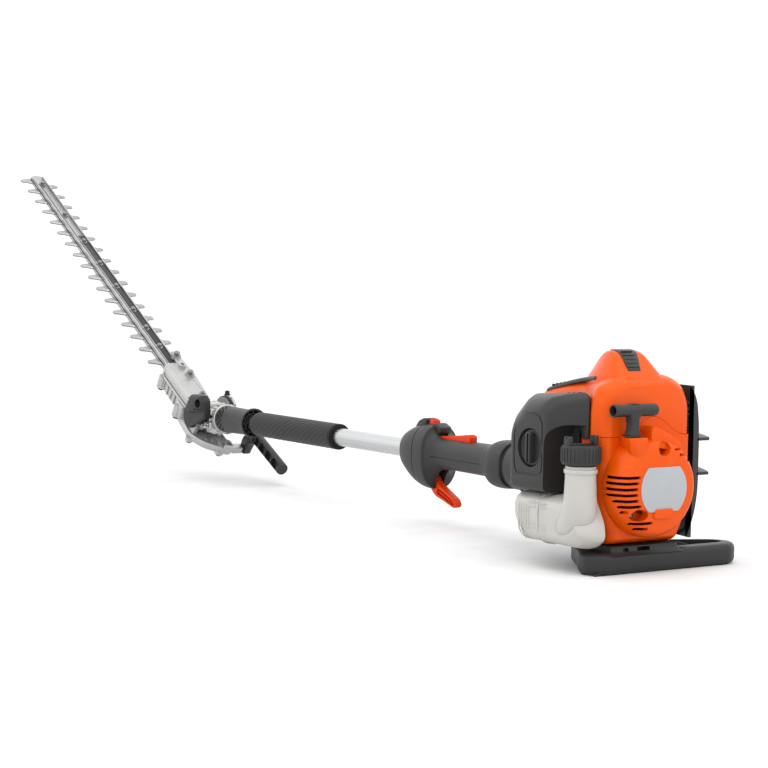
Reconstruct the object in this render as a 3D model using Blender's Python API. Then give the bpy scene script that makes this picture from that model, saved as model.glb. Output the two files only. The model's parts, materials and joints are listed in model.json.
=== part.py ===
"""Pole hedge trimmer with a petrol engine, a rear handle, a pole and a tilting cutting head.

Metres, +X forward along the pole, +Y to the operator's left, +Z up. The origin is on the flat
underside of the engine foot, below the pole axis.
"""

import math

import bmesh
import bpy
from mathutils import Matrix, Vector

# Gaps between pieces
GAP = 0.0004
SLIDE_GAP = 0.0006

# Pole
POLE_HEIGHT = 0.095
TUBE_RADIUS = 0.012
TUBE_WALL = 0.0018
TUBE_BACK = 0.196
SHAFT_RADIUS = 0.004
BUSH_LENGTH = 0.030
BUSH_PLACES = (0.240, 0.925)

# Stations along the pole
ROPE_PLANE = -0.030
DOME_FACE = -0.044
HOUSING_BACK = -0.014
HOUSING_FRONT = 0.022
CYLINDER_PLACE = 0.052
HANDLE_BACK = 0.2125
HANDLE_FRONT = 0.461
GRIP_BACK = 0.611
GRIP_LENGTH = 0.219
GRIP_RADIUS = 0.0175
SLEEVE_BACK = 0.845
SLEEVE_LENGTH = 0.084
PIVOT_PLACE = 0.997

# Engine casings, heights from the pole axis
HOUSING_LEFT = 0.058
HOUSING_RIGHT = -0.072
HOUSING_BOTTOM = -0.0645
CASING_WALL = 0.0025
SEAM_HEIGHT = 0.047
SEAM_RISE = 0.024
SHOULDER_HEIGHT = 0.112
PEAK_HEIGHT = 0.145
DOME_RADIUS = 0.058
DOME_EDGE = 0.008
DOME_NECK = 0.0465
HOOD_FRONT = 0.158

# Starter
ROPE_RADIUS = 0.0012
PULLEY_GROOVE_RADIUS = 0.029
PULLEY_RADIUS = 0.0335
PULLEY_WIDTH = 0.008
STARTER_HANDLE_HEIGHT = 0.084
STARTER_HANDLE_WIDTH = 0.065
STARTER_HANDLE_RADIUS = 0.0085
BOSS_TOP = 0.055

# Engine insides
CRANKCASE_RADIUS = 0.040
CRANKCASE_BACK = 0.012
CRANKCASE_FRONT = 0.088
CRANK_RADIUS = 0.0075
BORE_RADIUS = 0.017
FIN_RADIUS = 0.0292
FIN_COUNT = 5
FIN_PITCH = 0.0085
FLYWHEEL_RADIUS = 0.0405
CLUTCH_RADIUS = 0.0245
DRUM_WALL = 0.002
COVER_RADIUS = 0.053
COVER_BACK = 0.091

# Fuel and air
TANK_BACK = -0.023
TANK_FRONT = 0.105
TANK_INNER = 0.0412
TANK_OUTER = 0.092
TANK_BOTTOM = -0.0675
TANK_TOP = -0.0115
NECK_PLACE = Vector((-0.006, 0.081))
FILLER_RADIUS = 0.0175
FILLER_TOP = 0.025
CAP_RADIUS = 0.022
CAP_HEIGHT = 0.022
FILTER_FACE = 0.095
KNOB_PLACE = Vector((0.066, 0.038))
KNOB_RADIUS = 0.0205
KNOB_DEPTH = 0.010

# Exhaust side
GUARD_INNER = round(HOUSING_RIGHT - 0.0025, 6)
GUARD_OUTER = round(HOUSING_RIGHT - 0.053, 6)
GUARD_NEAR = round(HOUSING_RIGHT - 0.008, 6)
GUARD_BACK = -0.010
GUARD_FRONT = 0.110
FIN_REACH = 0.016

# Foot
FOOT_THICKNESS = 0.0245
FOOT_REAR = -0.022
FOOT_LEFT = 0.080
FOOT_RIGHT = -0.150

# Cutting head, in its own frame: X along the blade, Z across its faces, origin on the tilt axis
BLADE_TILT = math.radians(30)
BARREL_RADIUS = 0.022
BARREL_WALL = 0.0035
BARREL_RIGHT = -0.022
BARREL_LEFT = 0.013
EAR_THICKNESS = 0.007
PIN_GEAR_REACH = 0.0175
RING_RADIUS = 0.030
RING_WIDTH = 0.012
RING_NOTCHES = 12
CASE_BACK = 0.026
CASE_FRONT = 0.125
CASE_HALF_WIDTH = 0.020
CASE_TOP = 0.012
CASE_BOTTOM = -0.022
TAIL_TOP = -0.0255
TAIL_BOTTOM = -0.038
CRANK_GEAR_PLACE = 0.060
ADJUST_HANDLE_SIDE = -0.0515
ADJUST_HANDLE_LENGTH = 0.094
ADJUST_HANDLE_RADIUS = 0.009
ADJUST_HANDLE_POCKETS = 4

# Blades
TOOTH_PITCH = 0.0364
FIRST_TOOTH = 0.149
LEFT_TEETH = 17
RIGHT_TEETH = 16
TOOTH_REACH = 0.032
TOOTH_ROOT = 0.018
TOOTH_TIP = 0.007
BLADE_HALF_WIDTH = 0.0125
BLADE_THICKNESS = 0.0022
BLADE_TIP = 0.743
BLADE_STROKE = 0.009
BOLT_STEPS = (10, 13, 16, 20, 24, 28, 33, 39)
BOLT_RADIUS = 0.002
BOLT_HEAD_RADIUS = 0.0045
BAR_HALF_WIDTH = 0.011
BAR_FLOOR = 0.003
BAR_HEIGHT = 0.006


# ---------------------------------------------------------------- materials


def material(name, color, roughness, metallic=0.0):
    made = bpy.data.materials.new(name)
    made.use_nodes = True
    shader = made.node_tree.nodes["Principled BSDF"]
    shader.inputs["Base Color"].default_value = (*color, 1)
    shader.inputs["Roughness"].default_value = roughness
    shader.inputs["Metallic"].default_value = metallic
    made.diffuse_color = (*color, 1)
    return made


def finish_of(piece, kind):
    """Each piece has a material of its own in one of these finishes."""
    finishes = {
        "orange": ((1.0, 0.13, 0.01), 0.35, 0.0),
        "dark": ((0.07, 0.07, 0.07), 0.5, 0.0),
        "black": ((0.02, 0.02, 0.02), 0.6, 0.0),
        "tank": ((0.76, 0.74, 0.68), 0.4, 0.0),
        "casting": ((0.72, 0.72, 0.70), 0.45, 1.0),
        "tube": ((0.62, 0.62, 0.62), 0.3, 1.0),
        "steel": ((0.50, 0.50, 0.50), 0.3, 1.0),
        "foam": ((0.06, 0.06, 0.06), 0.9, 0.0),
        "plate": ((0.60, 0.61, 0.62), 0.4, 0.0),
        "brass": ((0.60, 0.42, 0.15), 0.35, 1.0),
    }
    return material(piece + "_" + kind, *finishes[kind])


# ---------------------------------------------------------------- shapes


def facing_out(mesh):
    bmesh.ops.recalc_face_normals(mesh, faces=mesh.faces)
    if mesh.calc_volume(signed=True) < 0:
        bmesh.ops.reverse_faces(mesh, faces=mesh.faces)
    return mesh


def oriented(mesh, axis):
    """Turns a shape made along Z so that its third coordinate runs along another axis."""
    turns = {
        "x": Matrix(((0, 0, 1), (1, 0, 0), (0, 1, 0))),
        "y": Matrix(((1, 0, 0), (0, 0, 1), (0, 1, 0))),
        "z": Matrix.Identity(3),
    }
    for vertex in mesh.verts:
        vertex.co = turns[axis] @ vertex.co
    return facing_out(mesh)


def loft(rings):
    """Closed skin over rings of equally many points."""
    mesh = bmesh.new()
    rows = [[mesh.verts.new(point) for point in ring] for ring in rings]
    count = len(rows[0])
    for low, high in zip(rows, rows[1:]):
        for i in range(count):
            j = (i + 1) % count
            mesh.faces.new((low[i], low[j], high[j], high[i]))
    mesh.faces.new(rows[0][::-1])
    mesh.faces.new(rows[-1])
    return facing_out(mesh)


def prism(outline, low, high, axis="z"):
    """An outline extruded along an axis: (y, z) points for x, (x, z) for y, (x, y) for z."""
    return oriented(loft([[(a, b, h) for a, b in outline] for h in (low, high)]), axis)


def box(low, high):
    (x0, y0, z0), (x1, y1, z1) = low, high
    return prism([(x0, y0), (x1, y0), (x1, y1), (x0, y1)], z0, z1)


def circle(radius, steps, centre=(0.0, 0.0), start=0.0):
    turn = 2 * math.pi / steps
    return [
        (centre[0] + radius * math.cos(start + turn * i), centre[1] + radius * math.sin(start + turn * i))
        for i in range(steps)
    ]


def turned(profile, axis="x", steps=24, centre=(0.0, 0.0)):
    """A profile of (radius, place along the axis) points spun into a solid.

    The profile is closed on the axis where it starts and ends at radius 0, and is a ring otherwise.
    """
    mesh = bmesh.new()
    rows = []
    for radius, along in profile:
        if radius == 0:
            rows.append([mesh.verts.new((*centre, along))])
        else:
            rows.append([mesh.verts.new((a, b, along)) for a, b in circle(radius, steps, centre)])
    pairs = list(zip(rows, rows[1:]))
    if profile[0][0] != 0:
        pairs.append((rows[-1], rows[0]))
    for low, high in pairs:
        for i in range(steps):
            j = (i + 1) % steps
            corners = [low[i % len(low)], low[j % len(low)], high[j % len(high)], high[i % len(high)]]
            mesh.faces.new(list(dict.fromkeys(corners)))
    return oriented(mesh, axis)


def rod(radius, low, high, axis="x", steps=16, centre=(0.0, 0.0)):
    return turned([(0, low), (radius, low), (radius, high), (0, high)], axis, steps, centre)


def pipe(outer, inner, low, high, axis="x", steps=24, centre=(0.0, 0.0)):
    return turned([(outer, low), (outer, high), (inner, high), (inner, low)], axis, steps, centre)


def bar_between(start, end, radius, steps=10):
    """A round bar from one point to another."""
    start = Vector(start)
    run = Vector(end) - start
    mesh = rod(radius, 0, run.length, "z", steps)
    spin = Vector((0, 0, 1)).rotation_difference(run).to_matrix()
    for vertex in mesh.verts:
        vertex.co = start + spin @ vertex.co
    return mesh


def rounded(width, height, corner, centre=(0.0, 0.0), steps=4):
    """A rectangle with round corners."""
    points = []
    for quarter in range(4):
        side = quarter * math.pi / 2
        across = (width / 2 - corner) * (1 if quarter in (0, 3) else -1)
        up = (height / 2 - corner) * (1 if quarter in (0, 1) else -1)
        for i in range(steps + 1):
            angle = side + math.pi / 2 * i / steps
            points.append(
                (centre[0] + across + corner * math.cos(angle), centre[1] + up + corner * math.sin(angle))
            )
    return points


def inset(outline, distance):
    """The outline moved inwards by one wall; it runs anticlockwise."""
    moved = []
    count = len(outline)
    for i in range(count):
        before = Vector(outline[i - 1])
        here = Vector(outline[i])
        after = Vector(outline[(i + 1) % count])
        first = (here - before).normalized()
        second = (after - here).normalized()
        normal_a = Vector((-first.y, first.x))
        normal_b = Vector((-second.y, second.x))
        middle = (normal_a + normal_b).normalized()
        moved.append(tuple(here + middle * distance / max(middle.dot(normal_a), 0.5)))
    return moved


# ---------------------------------------------------------------- objects


def frame_at(name, location, rotation=(0, 0, 0), parent=None):
    empty = bpy.data.objects.new(name, None)
    empty.location = location
    empty.rotation_euler = rotation
    empty.parent = parent
    bpy.context.scene.collection.objects.link(empty)
    return empty


def piece(name, mesh, kind, parent, pivot=(0, 0, 0)):
    """A named piece whose mesh is given in its parent's frame and whose origin is at the pivot."""
    for vertex in mesh.verts:
        vertex.co -= Vector(pivot)
    data = bpy.data.meshes.new(name)
    mesh.to_mesh(data)
    mesh.free()
    data.shade_smooth()
    data.set_sharp_from_angle(angle=math.radians(35))
    made = bpy.data.objects.new(name, data)
    made.parent = parent
    made.location = pivot
    if kind:
        data.materials.append(finish_of(name, kind))
    bpy.context.scene.collection.objects.link(made)
    return made


def helper(owner, mesh, operation):
    """A hidden shape in the owner's parent frame, used by a Boolean on the owner."""
    count = len(owner.modifiers)
    tool = piece(f"{owner.name}_{operation.lower()}_{count}", mesh, None, owner.parent)
    tool.hide_render = True
    tool.display_type = "WIRE"
    change = owner.modifiers.new(tool.name, "BOOLEAN")
    change.operation = operation
    change.object = tool
    return owner


def cut(owner, *meshes):
    for mesh in meshes:
        helper(owner, mesh, "DIFFERENCE")
    return owner


def join(owner, *meshes):
    for mesh in meshes:
        helper(owner, mesh, "UNION")
    return owner


# ---------------------------------------------------------------- engine casings


def seam_height(y):
    """Height of the joint between the two orange casings, which arches over the starter."""
    reach = (y + 0.012) / 0.046
    if abs(reach) >= 1:
        return SEAM_HEIGHT
    return SEAM_HEIGHT + SEAM_RISE * 0.5 * (1 + math.cos(math.pi * reach))


def seam_points(lift, steps=8):
    """The joint from the left side to the right side of the casings."""
    width = HOUSING_LEFT - HOUSING_RIGHT
    places = [HOUSING_LEFT - width * i / steps for i in range(steps + 1)]
    return [(y, seam_height(y) + lift) for y in places]


def starter_housing(axis):
    sides = [
        (HOUSING_RIGHT, -0.030),
        (HOUSING_RIGHT + 0.018, HOUSING_BOTTOM),
        (HOUSING_LEFT - 0.016, HOUSING_BOTTOM),
        (HOUSING_LEFT, -0.035),
    ]
    outline = sides + seam_points(-GAP / 2)
    made = piece("starter_housing", prism(outline, HOUSING_BACK, HOUSING_FRONT, "x"), "orange", axis)
    rim = DOME_RADIUS - DOME_EDGE
    dome = turned(
        [
            (0, DOME_FACE),
            (rim, DOME_FACE),
            (DOME_RADIUS, ROPE_PLANE),
            (DOME_RADIUS, HOUSING_BACK - GAP),
            (DOME_NECK, HOUSING_BACK - GAP),
            (DOME_NECK, HOUSING_BACK + 0.001),
            (0, HOUSING_BACK + 0.001),
        ],
        "x",
        32,
    )
    rope_side = rope_place()[1]
    boss_outline = [
        (rope_side - 0.003, 0.030),
        (rope_side + 0.003, 0.030),
        (rope_side + 0.013, BOSS_TOP),
        (rope_side - 0.013, BOSS_TOP),
    ]
    join(made, dome, prism(boss_outline, DOME_FACE + 0.001, HOUSING_BACK - GAP, "x"))
    hollow = prism(inset(outline, CASING_WALL), HOUSING_BACK + CASING_WALL, HOUSING_FRONT + 0.01, "x")
    room = DOME_RADIUS - CASING_WALL
    dome_hollow = turned(
        [
            (0, DOME_FACE + CASING_WALL),
            (rim - CASING_WALL, DOME_FACE + CASING_WALL),
            (room, ROPE_PLANE),
            (room, HOUSING_BACK - GAP - CASING_WALL),
            (DOME_NECK - CASING_WALL, HOUSING_BACK - GAP - CASING_WALL),
            (DOME_NECK - CASING_WALL, HOUSING_BACK + CASING_WALL + 0.001),
            (0, HOUSING_BACK + CASING_WALL + 0.001),
        ],
        "x",
        32,
    )
    rope_hole = rod(0.0024, 0, BOSS_TOP + 0.01, "z", 10, rope_place())
    return cut(made, hollow, dome_hollow, rope_hole)


def hood_section(left, right, top, shoulder, skirt, x):
    """One section of the top cover across the pole, at a distance x along it."""
    low = SEAM_HEIGHT - 0.03
    width = left - right
    points = [
        (right, low),
        (right, shoulder - 0.010),
        (right + 0.010, shoulder),
        (right + width * 0.28, top),
        (left - width * 0.22, top),
        (left - 0.006, shoulder),
        (left, shoulder - 0.010),
        (skirt, shoulder - 0.022),
        (skirt, low),
    ]
    return [(x, y, z) for y, z in points]


def top_cover(axis):
    def rings(wall, first, last):
        edge = (
            (HOUSING_LEFT, HOUSING_RIGHT, SHOULDER_HEIGHT - 0.004, 0.098, HOUSING_LEFT, HOUSING_BACK),
            (HOUSING_LEFT - 0.001, HOUSING_RIGHT, SHOULDER_HEIGHT + 0.006, 0.104, HOUSING_LEFT, 0.004),
            (0.040, HOUSING_RIGHT + 0.004, SHOULDER_HEIGHT + 0.008, 0.104, 0.041, 0.024),
            (0.018, HOUSING_RIGHT + 0.012, SHOULDER_HEIGHT + 0.004, 0.104, 0.040, 0.075),
            (0.010, HOUSING_RIGHT + 0.030, 0.098, 0.092, 0.030, HOOD_FRONT),
        )
        made = []
        for left, right, top, shoulder, skirt, x in edge:
            section = (left - wall, right + wall, top - wall, shoulder - wall, skirt - wall, x)
            made.append(hood_section(*section))
        made[0] = [(first, y, z) for _, y, z in made[0]]
        made[-1] = [(last, y, z) for _, y, z in made[-1]]
        return made

    made = piece("top_cover", loft(rings(0, HOUSING_BACK, HOOD_FRONT)), "orange", axis)
    peak = loft(
        [
            [
                (-0.014, 0.034, 0.100),
                (-0.014, -0.050, 0.100),
                (-0.008, -0.030, 0.118),
                (-0.008, 0.016, 0.118),
            ],
            [
                (0.030, 0.034, 0.100),
                (0.030, -0.050, 0.100),
                (0.024, -0.030, PEAK_HEIGHT),
                (0.024, 0.014, PEAK_HEIGHT),
            ],
            [
                (0.060, 0.020, 0.100),
                (0.060, -0.044, 0.100),
                (0.046, -0.026, PEAK_HEIGHT - 0.003),
                (0.046, 0.008, PEAK_HEIGHT - 0.003),
            ],
        ]
    )
    join(made, peak)
    hollow = loft(rings(CASING_WALL, HOUSING_BACK + CASING_WALL, HOOD_FRONT - CASING_WALL))
    for vertex in hollow.verts:
        if vertex.co.z < SEAM_HEIGHT:
            vertex.co.z -= 0.01
    below = [
        (HOUSING_RIGHT - 0.01, 0),
        *reversed([(y, z) for y, z in seam_points(GAP / 2)]),
        (HOUSING_LEFT + 0.01, 0),
    ]
    below[1] = (HOUSING_RIGHT - 0.01, below[1][1])
    below[-2] = (HOUSING_LEFT + 0.01, below[-2][1])
    inlay_seat = prism(
        [(-0.012, 0.1175), (0.020, 0.1455), (0.030, 0.1455), (0.030, 0.155), (-0.012, 0.155)],
        -0.021,
        0.005,
        "y",
    )
    return cut(made, hollow, prism(below, HOUSING_BACK - 0.01, HOOD_FRONT + 0.01, "x"), inlay_seat)


def top_cover_inlay(axis):
    """Dark insert that lies on the sloping back of the peak, with raised ribs."""
    slab = prism(
        [(-0.008, 0.1222), (0.018, 0.1447), (0.018, 0.1465), (-0.008, 0.1242)],
        -0.0205,
        0.0045,
        "y",
    )
    for vertex in slab.verts:
        vertex.co.z += GAP
    return piece("top_cover_inlay", slab, "dark", axis)


def top_strip(axis):
    """Dark strip along the front left edge of the top cover."""
    rings = []
    for x, y, z in ((0.070, 0.0195, 0.107), (0.110, 0.0165, 0.103), (0.150, 0.0125, 0.096)):
        rings.append(
            [
                (x, y, z - 0.010),
                (x, y + 0.004, z - 0.010),
                (x, y + 0.004, z),
                (x, y - 0.002, z + 0.002),
                (x, y, z),
            ],
        )
    return piece("top_strip", loft(rings), "dark", axis)


def label_plate(axis):
    back = DOME_FACE - GAP
    outline = [(y * 0.031 - 0.003, z * 0.0225 - 0.0025) for y, z in circle(1, 20)]
    outline = [(y, max(min(z, 0.0165), -0.0205)) for y, z in outline]
    return piece("label_plate", prism(outline, back - 0.001, back, "x"), "plate", axis)


# ---------------------------------------------------------------- starter


def recoil_pulley(axis):
    half = PULLEY_WIDTH / 2
    made = turned(
        [
            (0.0045, ROPE_PLANE - half),
            (PULLEY_RADIUS, ROPE_PLANE - half),
            (PULLEY_RADIUS, ROPE_PLANE - half + 0.0015),
            (PULLEY_GROOVE_RADIUS, ROPE_PLANE - half + 0.0020),
            (PULLEY_GROOVE_RADIUS, ROPE_PLANE + half - 0.0020),
            (PULLEY_RADIUS, ROPE_PLANE + half - 0.0015),
            (PULLEY_RADIUS, ROPE_PLANE + half),
            (0.0045, ROPE_PLANE + half),
        ],
        "x",
        32,
    )
    return piece("recoil_pulley", made, "black", axis)


def rope_place():
    return ROPE_PLANE, PULLEY_GROOVE_RADIUS + 0.0015


def starter_rope(axis):
    made = rod(ROPE_RADIUS, 0.002, BOSS_TOP + 0.008, "z", 8, rope_place())
    return piece("starter_rope", made, "black", axis, (*rope_place(), 0.002))


def starter_handle(axis):
    x, y = rope_place()
    stem = turned(
        [
            (0.0055, BOSS_TOP + GAP),
            (0.0075, STARTER_HANDLE_HEIGHT),
            (0.0020, STARTER_HANDLE_HEIGHT),
            (0.0020, BOSS_TOP + GAP),
        ],
        "z",
        16,
        (x, y),
    )
    half = STARTER_HANDLE_WIDTH / 2
    radius = STARTER_HANDLE_RADIUS
    grip = turned(
        [
            (0, y - half),
            (radius - 0.001, y - half),
            (radius, y - half + 0.004),
            (radius, y + half - 0.002),
            (0, y + half),
        ],
        "y",
        16,
        (x, STARTER_HANDLE_HEIGHT),
    )
    made = piece("starter_handle", stem, "dark", axis, (x, y, STARTER_HANDLE_HEIGHT))
    join(made, grip)
    return cut(made, rod(0.0020, BOSS_TOP, BOSS_TOP + 0.020, "z", 16, (x, y)))


# ---------------------------------------------------------------- engine insides


def crankcase(axis):
    made = piece(
        "crankcase",
        rod(CRANKCASE_RADIUS, CRANKCASE_BACK, CRANKCASE_FRONT, "x", 24),
        "casting",
        axis,
    )
    flange = box((HOUSING_FRONT + 0.0015, -0.040, -0.064), (CRANKCASE_FRONT, TANK_INNER - 0.003, -0.020))
    join(made, flange)
    chamber = rod(0.030, 0.036, 0.068, "x", 24)
    bearing = rod(CRANK_RADIUS + GAP, CRANKCASE_BACK - 0.01, CRANKCASE_FRONT + 0.01, "x", 16)
    top = rod(BORE_RADIUS, 0, CRANKCASE_RADIUS + 0.01, "z", 20, (CYLINDER_PLACE, 0))
    deck = box((0, -0.05, 0.034), (0.1, 0.05, 0.05))
    return cut(made, chamber, bearing, top, deck)


def cylinder(axis):
    low = 0.034 + GAP
    fins_from = 0.0445
    barrel = 0.022
    profile = [(BORE_RADIUS, low), (barrel, low)]
    for i in range(FIN_COUNT):
        z = fins_from + FIN_PITCH * i
        profile += [(barrel, z), (FIN_RADIUS, z), (FIN_RADIUS, z + 0.003), (barrel, z + 0.003)]
    top = profile[-1][1]
    profile[-1] = (0.007, top)
    profile += [(0.007, top - 0.006), (BORE_RADIUS, top - 0.006)]
    return piece("cylinder", turned(profile, "z", 20, (CYLINDER_PLACE, 0)), "casting", axis)


def piston(axis):
    radius = BORE_RADIUS - GAP
    low = 0.046
    high = 0.070
    skirt = radius - 0.003
    profile = [
        (0, high),
        (radius, high),
        (radius, low),
        (skirt, low),
        (skirt, high - 0.004),
        (0, high - 0.004),
    ]
    return piece("piston", turned(profile, "z", 20, (CYLINDER_PLACE, 0)), "casting", axis)


def crankshaft(axis):
    web_back = 0.040
    web_front = 0.064
    profile = [
        (0, -0.0245),
        (0.0035, -0.0245),
        (0.0035, 0.006),
        (CRANK_RADIUS, 0.008),
        (CRANK_RADIUS, web_back),
        (0.026, web_back),
        (0.026, web_back + 0.007),
        (0.009, web_back + 0.007),
        (0.009, web_front - 0.007),
        (0.026, web_front - 0.007),
        (0.026, web_front),
        (CRANK_RADIUS, web_front),
        (CRANK_RADIUS, 0.094),
        (0.0050, 0.096),
        (0.0050, 0.141),
        (0, 0.141),
    ]
    return piece("crankshaft", turned(profile, "x", 20), "steel", axis)


def flywheel(axis):
    made = piece(
        "flywheel",
        pipe(FLYWHEEL_RADIUS - 0.010, 0.0050 + GAP, 0.097, 0.108, "x", 24),
        "casting",
        axis,
    )
    for i in range(8):
        blade = box((0.099, -0.001, 0.024), (0.120, 0.001, FLYWHEEL_RADIUS))
        bmesh.ops.rotate(blade, verts=blade.verts, matrix=Matrix.Rotation(math.pi / 4 * i, 3, "X"))
        join(made, blade)
    return made


def clutch_shoes(axis):
    mesh = pipe(CLUTCH_RADIUS - 0.0008, 0.0050 + GAP, 0.126, 0.138, "x", 24)
    made = piece("clutch_shoes", mesh, "steel", axis)
    return cut(
        made,
        box((0.125, -0.0015, 0.008), (0.139, 0.0015, 0.03)),
        box((0.125, -0.0015, -0.03), (0.139, 0.0015, -0.008)),
    )


def clutch_drum(axis):
    outer = CLUTCH_RADIUS + DRUM_WALL
    profile = [
        (CLUTCH_RADIUS, 0.125),
        (outer, 0.125),
        (outer, 0.148),
        (0.0075, 0.148),
        (0.0075, 0.178),
        (SHAFT_RADIUS + GAP, 0.178),
        (SHAFT_RADIUS + GAP, 0.146),
        (CLUTCH_RADIUS, 0.146),
    ]
    return piece("clutch_drum", turned(profile, "x", 24), "steel", axis)


def clutch_cover(axis):
    wall = 0.003
    outside = [
        (COVER_RADIUS, COVER_BACK),
        (COVER_RADIUS, 0.122),
        (0.038, 0.150),
        (0.031, 0.180),
        (0.0285, 0.2055),
    ]
    inside = [
        (TUBE_RADIUS + GAP, 0.2055),
        (TUBE_RADIUS + GAP, 0.190),
        (0.024, 0.182),
        (0.0345, 0.148),
        (COVER_RADIUS - wall, 0.121),
        (COVER_RADIUS - wall, COVER_BACK),
    ]
    mesh = turned(outside + inside, "x", 28)
    made = piece("clutch_cover", mesh, "dark", axis)
    roof = box((COVER_BACK - 0.01, -0.08, 0.038), (HOOD_FRONT + 0.002, 0.08, 0.08))
    left = box((COVER_BACK - 0.01, 0.0415, -0.08), (HOOD_FRONT + 0.002, 0.08, 0.08))
    tank_side = box(
        (COVER_BACK - 0.01, TANK_INNER - 0.001, -0.08),
        (TANK_FRONT + 0.001, 0.06, TANK_TOP + 0.001),
    )
    return cut(made, roof, left, tank_side)


def vibration_ring(axis):
    mesh = pipe(0.0275, TUBE_RADIUS + GAP, 0.2055 + GAP, HANDLE_BACK - GAP, "x", 24)
    return piece("vibration_ring", mesh, "black", axis)


def muffler(axis):
    outline = rounded(0.066, 0.100, 0.014, (0.068, 0.020), 2)
    made = piece("muffler", prism(outline, round(GUARD_INNER - 0.0245, 6), GUARD_INNER - 0.006, "y"), "steel", axis)
    return join(made, box((0.040, GUARD_INNER - 0.010, 0.0360), (0.064, -0.0250, 0.0445)))


def guard_reach(x):
    """How far out the guard stands at a distance x along the pole: it flares towards the front."""
    near = (x - GUARD_BACK) / (GUARD_FRONT - GUARD_BACK)
    return GUARD_NEAR + (GUARD_OUTER - GUARD_NEAR) * (1 - (1 - near) ** 2)


def guard_ring(x, wall):
    depth = guard_reach(x) + wall - GUARD_INNER
    inner = GUARD_INNER + 4 * wall
    return [
        (x, inner, 0.107 - wall),
        (x, GUARD_INNER + depth * 0.27, 0.107 - wall),
        (x, GUARD_INNER + depth * 0.80, 0.088 - wall),
        (x, GUARD_INNER + depth, 0.050),
        (x, GUARD_INNER + depth, -0.010),
        (x, GUARD_INNER + depth * 0.76, -0.040),
        (x, GUARD_INNER + depth * 0.33, -0.066 + wall),
        (x, inner, -0.066 + wall),
    ]


def muffler_guard(axis):
    length = GUARD_FRONT - GUARD_BACK
    stations = [GUARD_BACK + length * i / 4 for i in range(5)]
    made = piece("muffler_guard", loft([guard_ring(x, 0) for x in stations]), "dark", axis)
    for z in (0.036, -0.003):
        fin = [(x, guard_reach(x) - FIN_REACH) for x in stations]
        fin += [(x, guard_reach(x) + 0.003) for x in reversed(stations)]
        join(made, prism(fin, z - 0.001, z + 0.001))
    inside = [stations[1] - 0.012, *stations[1:-1], GUARD_FRONT - CASING_WALL]
    return cut(made, loft([guard_ring(x, CASING_WALL) for x in inside]))


# ---------------------------------------------------------------- fuel and air


def carburettor(axis):
    made = piece("carburettor", box((0.0445, 0.0425, 0.022), (0.078, 0.058, 0.056)), "casting", axis)
    return cut(made, rod(0.008, 0.03, 0.07, "y", 12, (0.061, 0.040)))


def air_filter_element(axis):
    mesh = prism(rounded(0.050, 0.056, 0.010, (0.071, 0.032), 2), 0.060, 0.078, "y")
    return piece("air_filter_element", mesh, "foam", axis)


def filter_ring(y, back, front, low, high, cheek):
    """One section of the air filter cover: a rectangle with cut corners, higher at the back."""
    points = [
        (back, low + 0.004),
        (back + 0.004, low),
        (front - 0.006, low),
        (front, low + 0.008),
        (front, high - cheek),
        (front - cheek * 0.8, high - cheek * 0.25),
        (back + cheek * 0.3, high),
        (back, high - 0.006),
    ]
    return [(x, y, z) for x, z in points]


def air_filter_cover(axis):
    rings = [
        filter_ring(FILTER_FACE, 0.037, 0.101, -0.007, 0.082, 0.030),
        filter_ring(FILTER_FACE - 0.006, 0.033, 0.106, -0.010, 0.092, 0.030),
        filter_ring(HOUSING_LEFT + 0.0010, 0.006, 0.130, -0.010, 0.097, 0.030),
        filter_ring(HOUSING_LEFT + 0.0006, 0.024, 0.130, -0.010, 0.097, 0.030),
        filter_ring(0.0425, 0.0245, 0.138, -0.010, 0.100, 0.030),
    ]
    made = piece("air_filter_cover", loft(rings), "dark", axis)
    cap_x = NECK_PLACE[0]
    reach = CAP_RADIUS + 0.006
    notch = box((cap_x - 0.03, 0.045, -0.03), (cap_x + reach + 0.014, 0.12, 0.065))
    knob_seat = rod(
        KNOB_RADIUS + 0.001,
        FILTER_FACE - 0.006,
        FILTER_FACE + 0.01,
        "y",
        24,
        tuple(KNOB_PLACE),
    )
    behind_cap = cap_x + reach + 0.014 + 2 * CASING_WALL
    hollow = loft(
        [
            filter_ring(FILTER_FACE - 0.0115, behind_cap, 0.100, -0.008, 0.080, 0.028),
            filter_ring(0.040, behind_cap, 0.132, -0.008, 0.094, 0.028),
        ]
    )
    return cut(made, hollow, notch, knob_seat)


def filter_knob(axis):
    x, z = KNOB_PLACE
    base = FILTER_FACE - 0.006 + GAP
    mesh = turned(
        [
            (0, base),
            (KNOB_RADIUS - 0.001, base),
            (KNOB_RADIUS - 0.002, base + 0.003),
            (0, base + 0.003),
        ],
        "y",
        24,
        (x, z),
    )
    made = piece("filter_knob", mesh, "dark", axis, (x, FILTER_FACE, z))
    return join(
        made,
        box(
            (x - 0.004, base, z - KNOB_RADIUS + 0.003),
            (x + 0.004, base + KNOB_DEPTH, z + KNOB_RADIUS - 0.003),
        ),
    )


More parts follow.
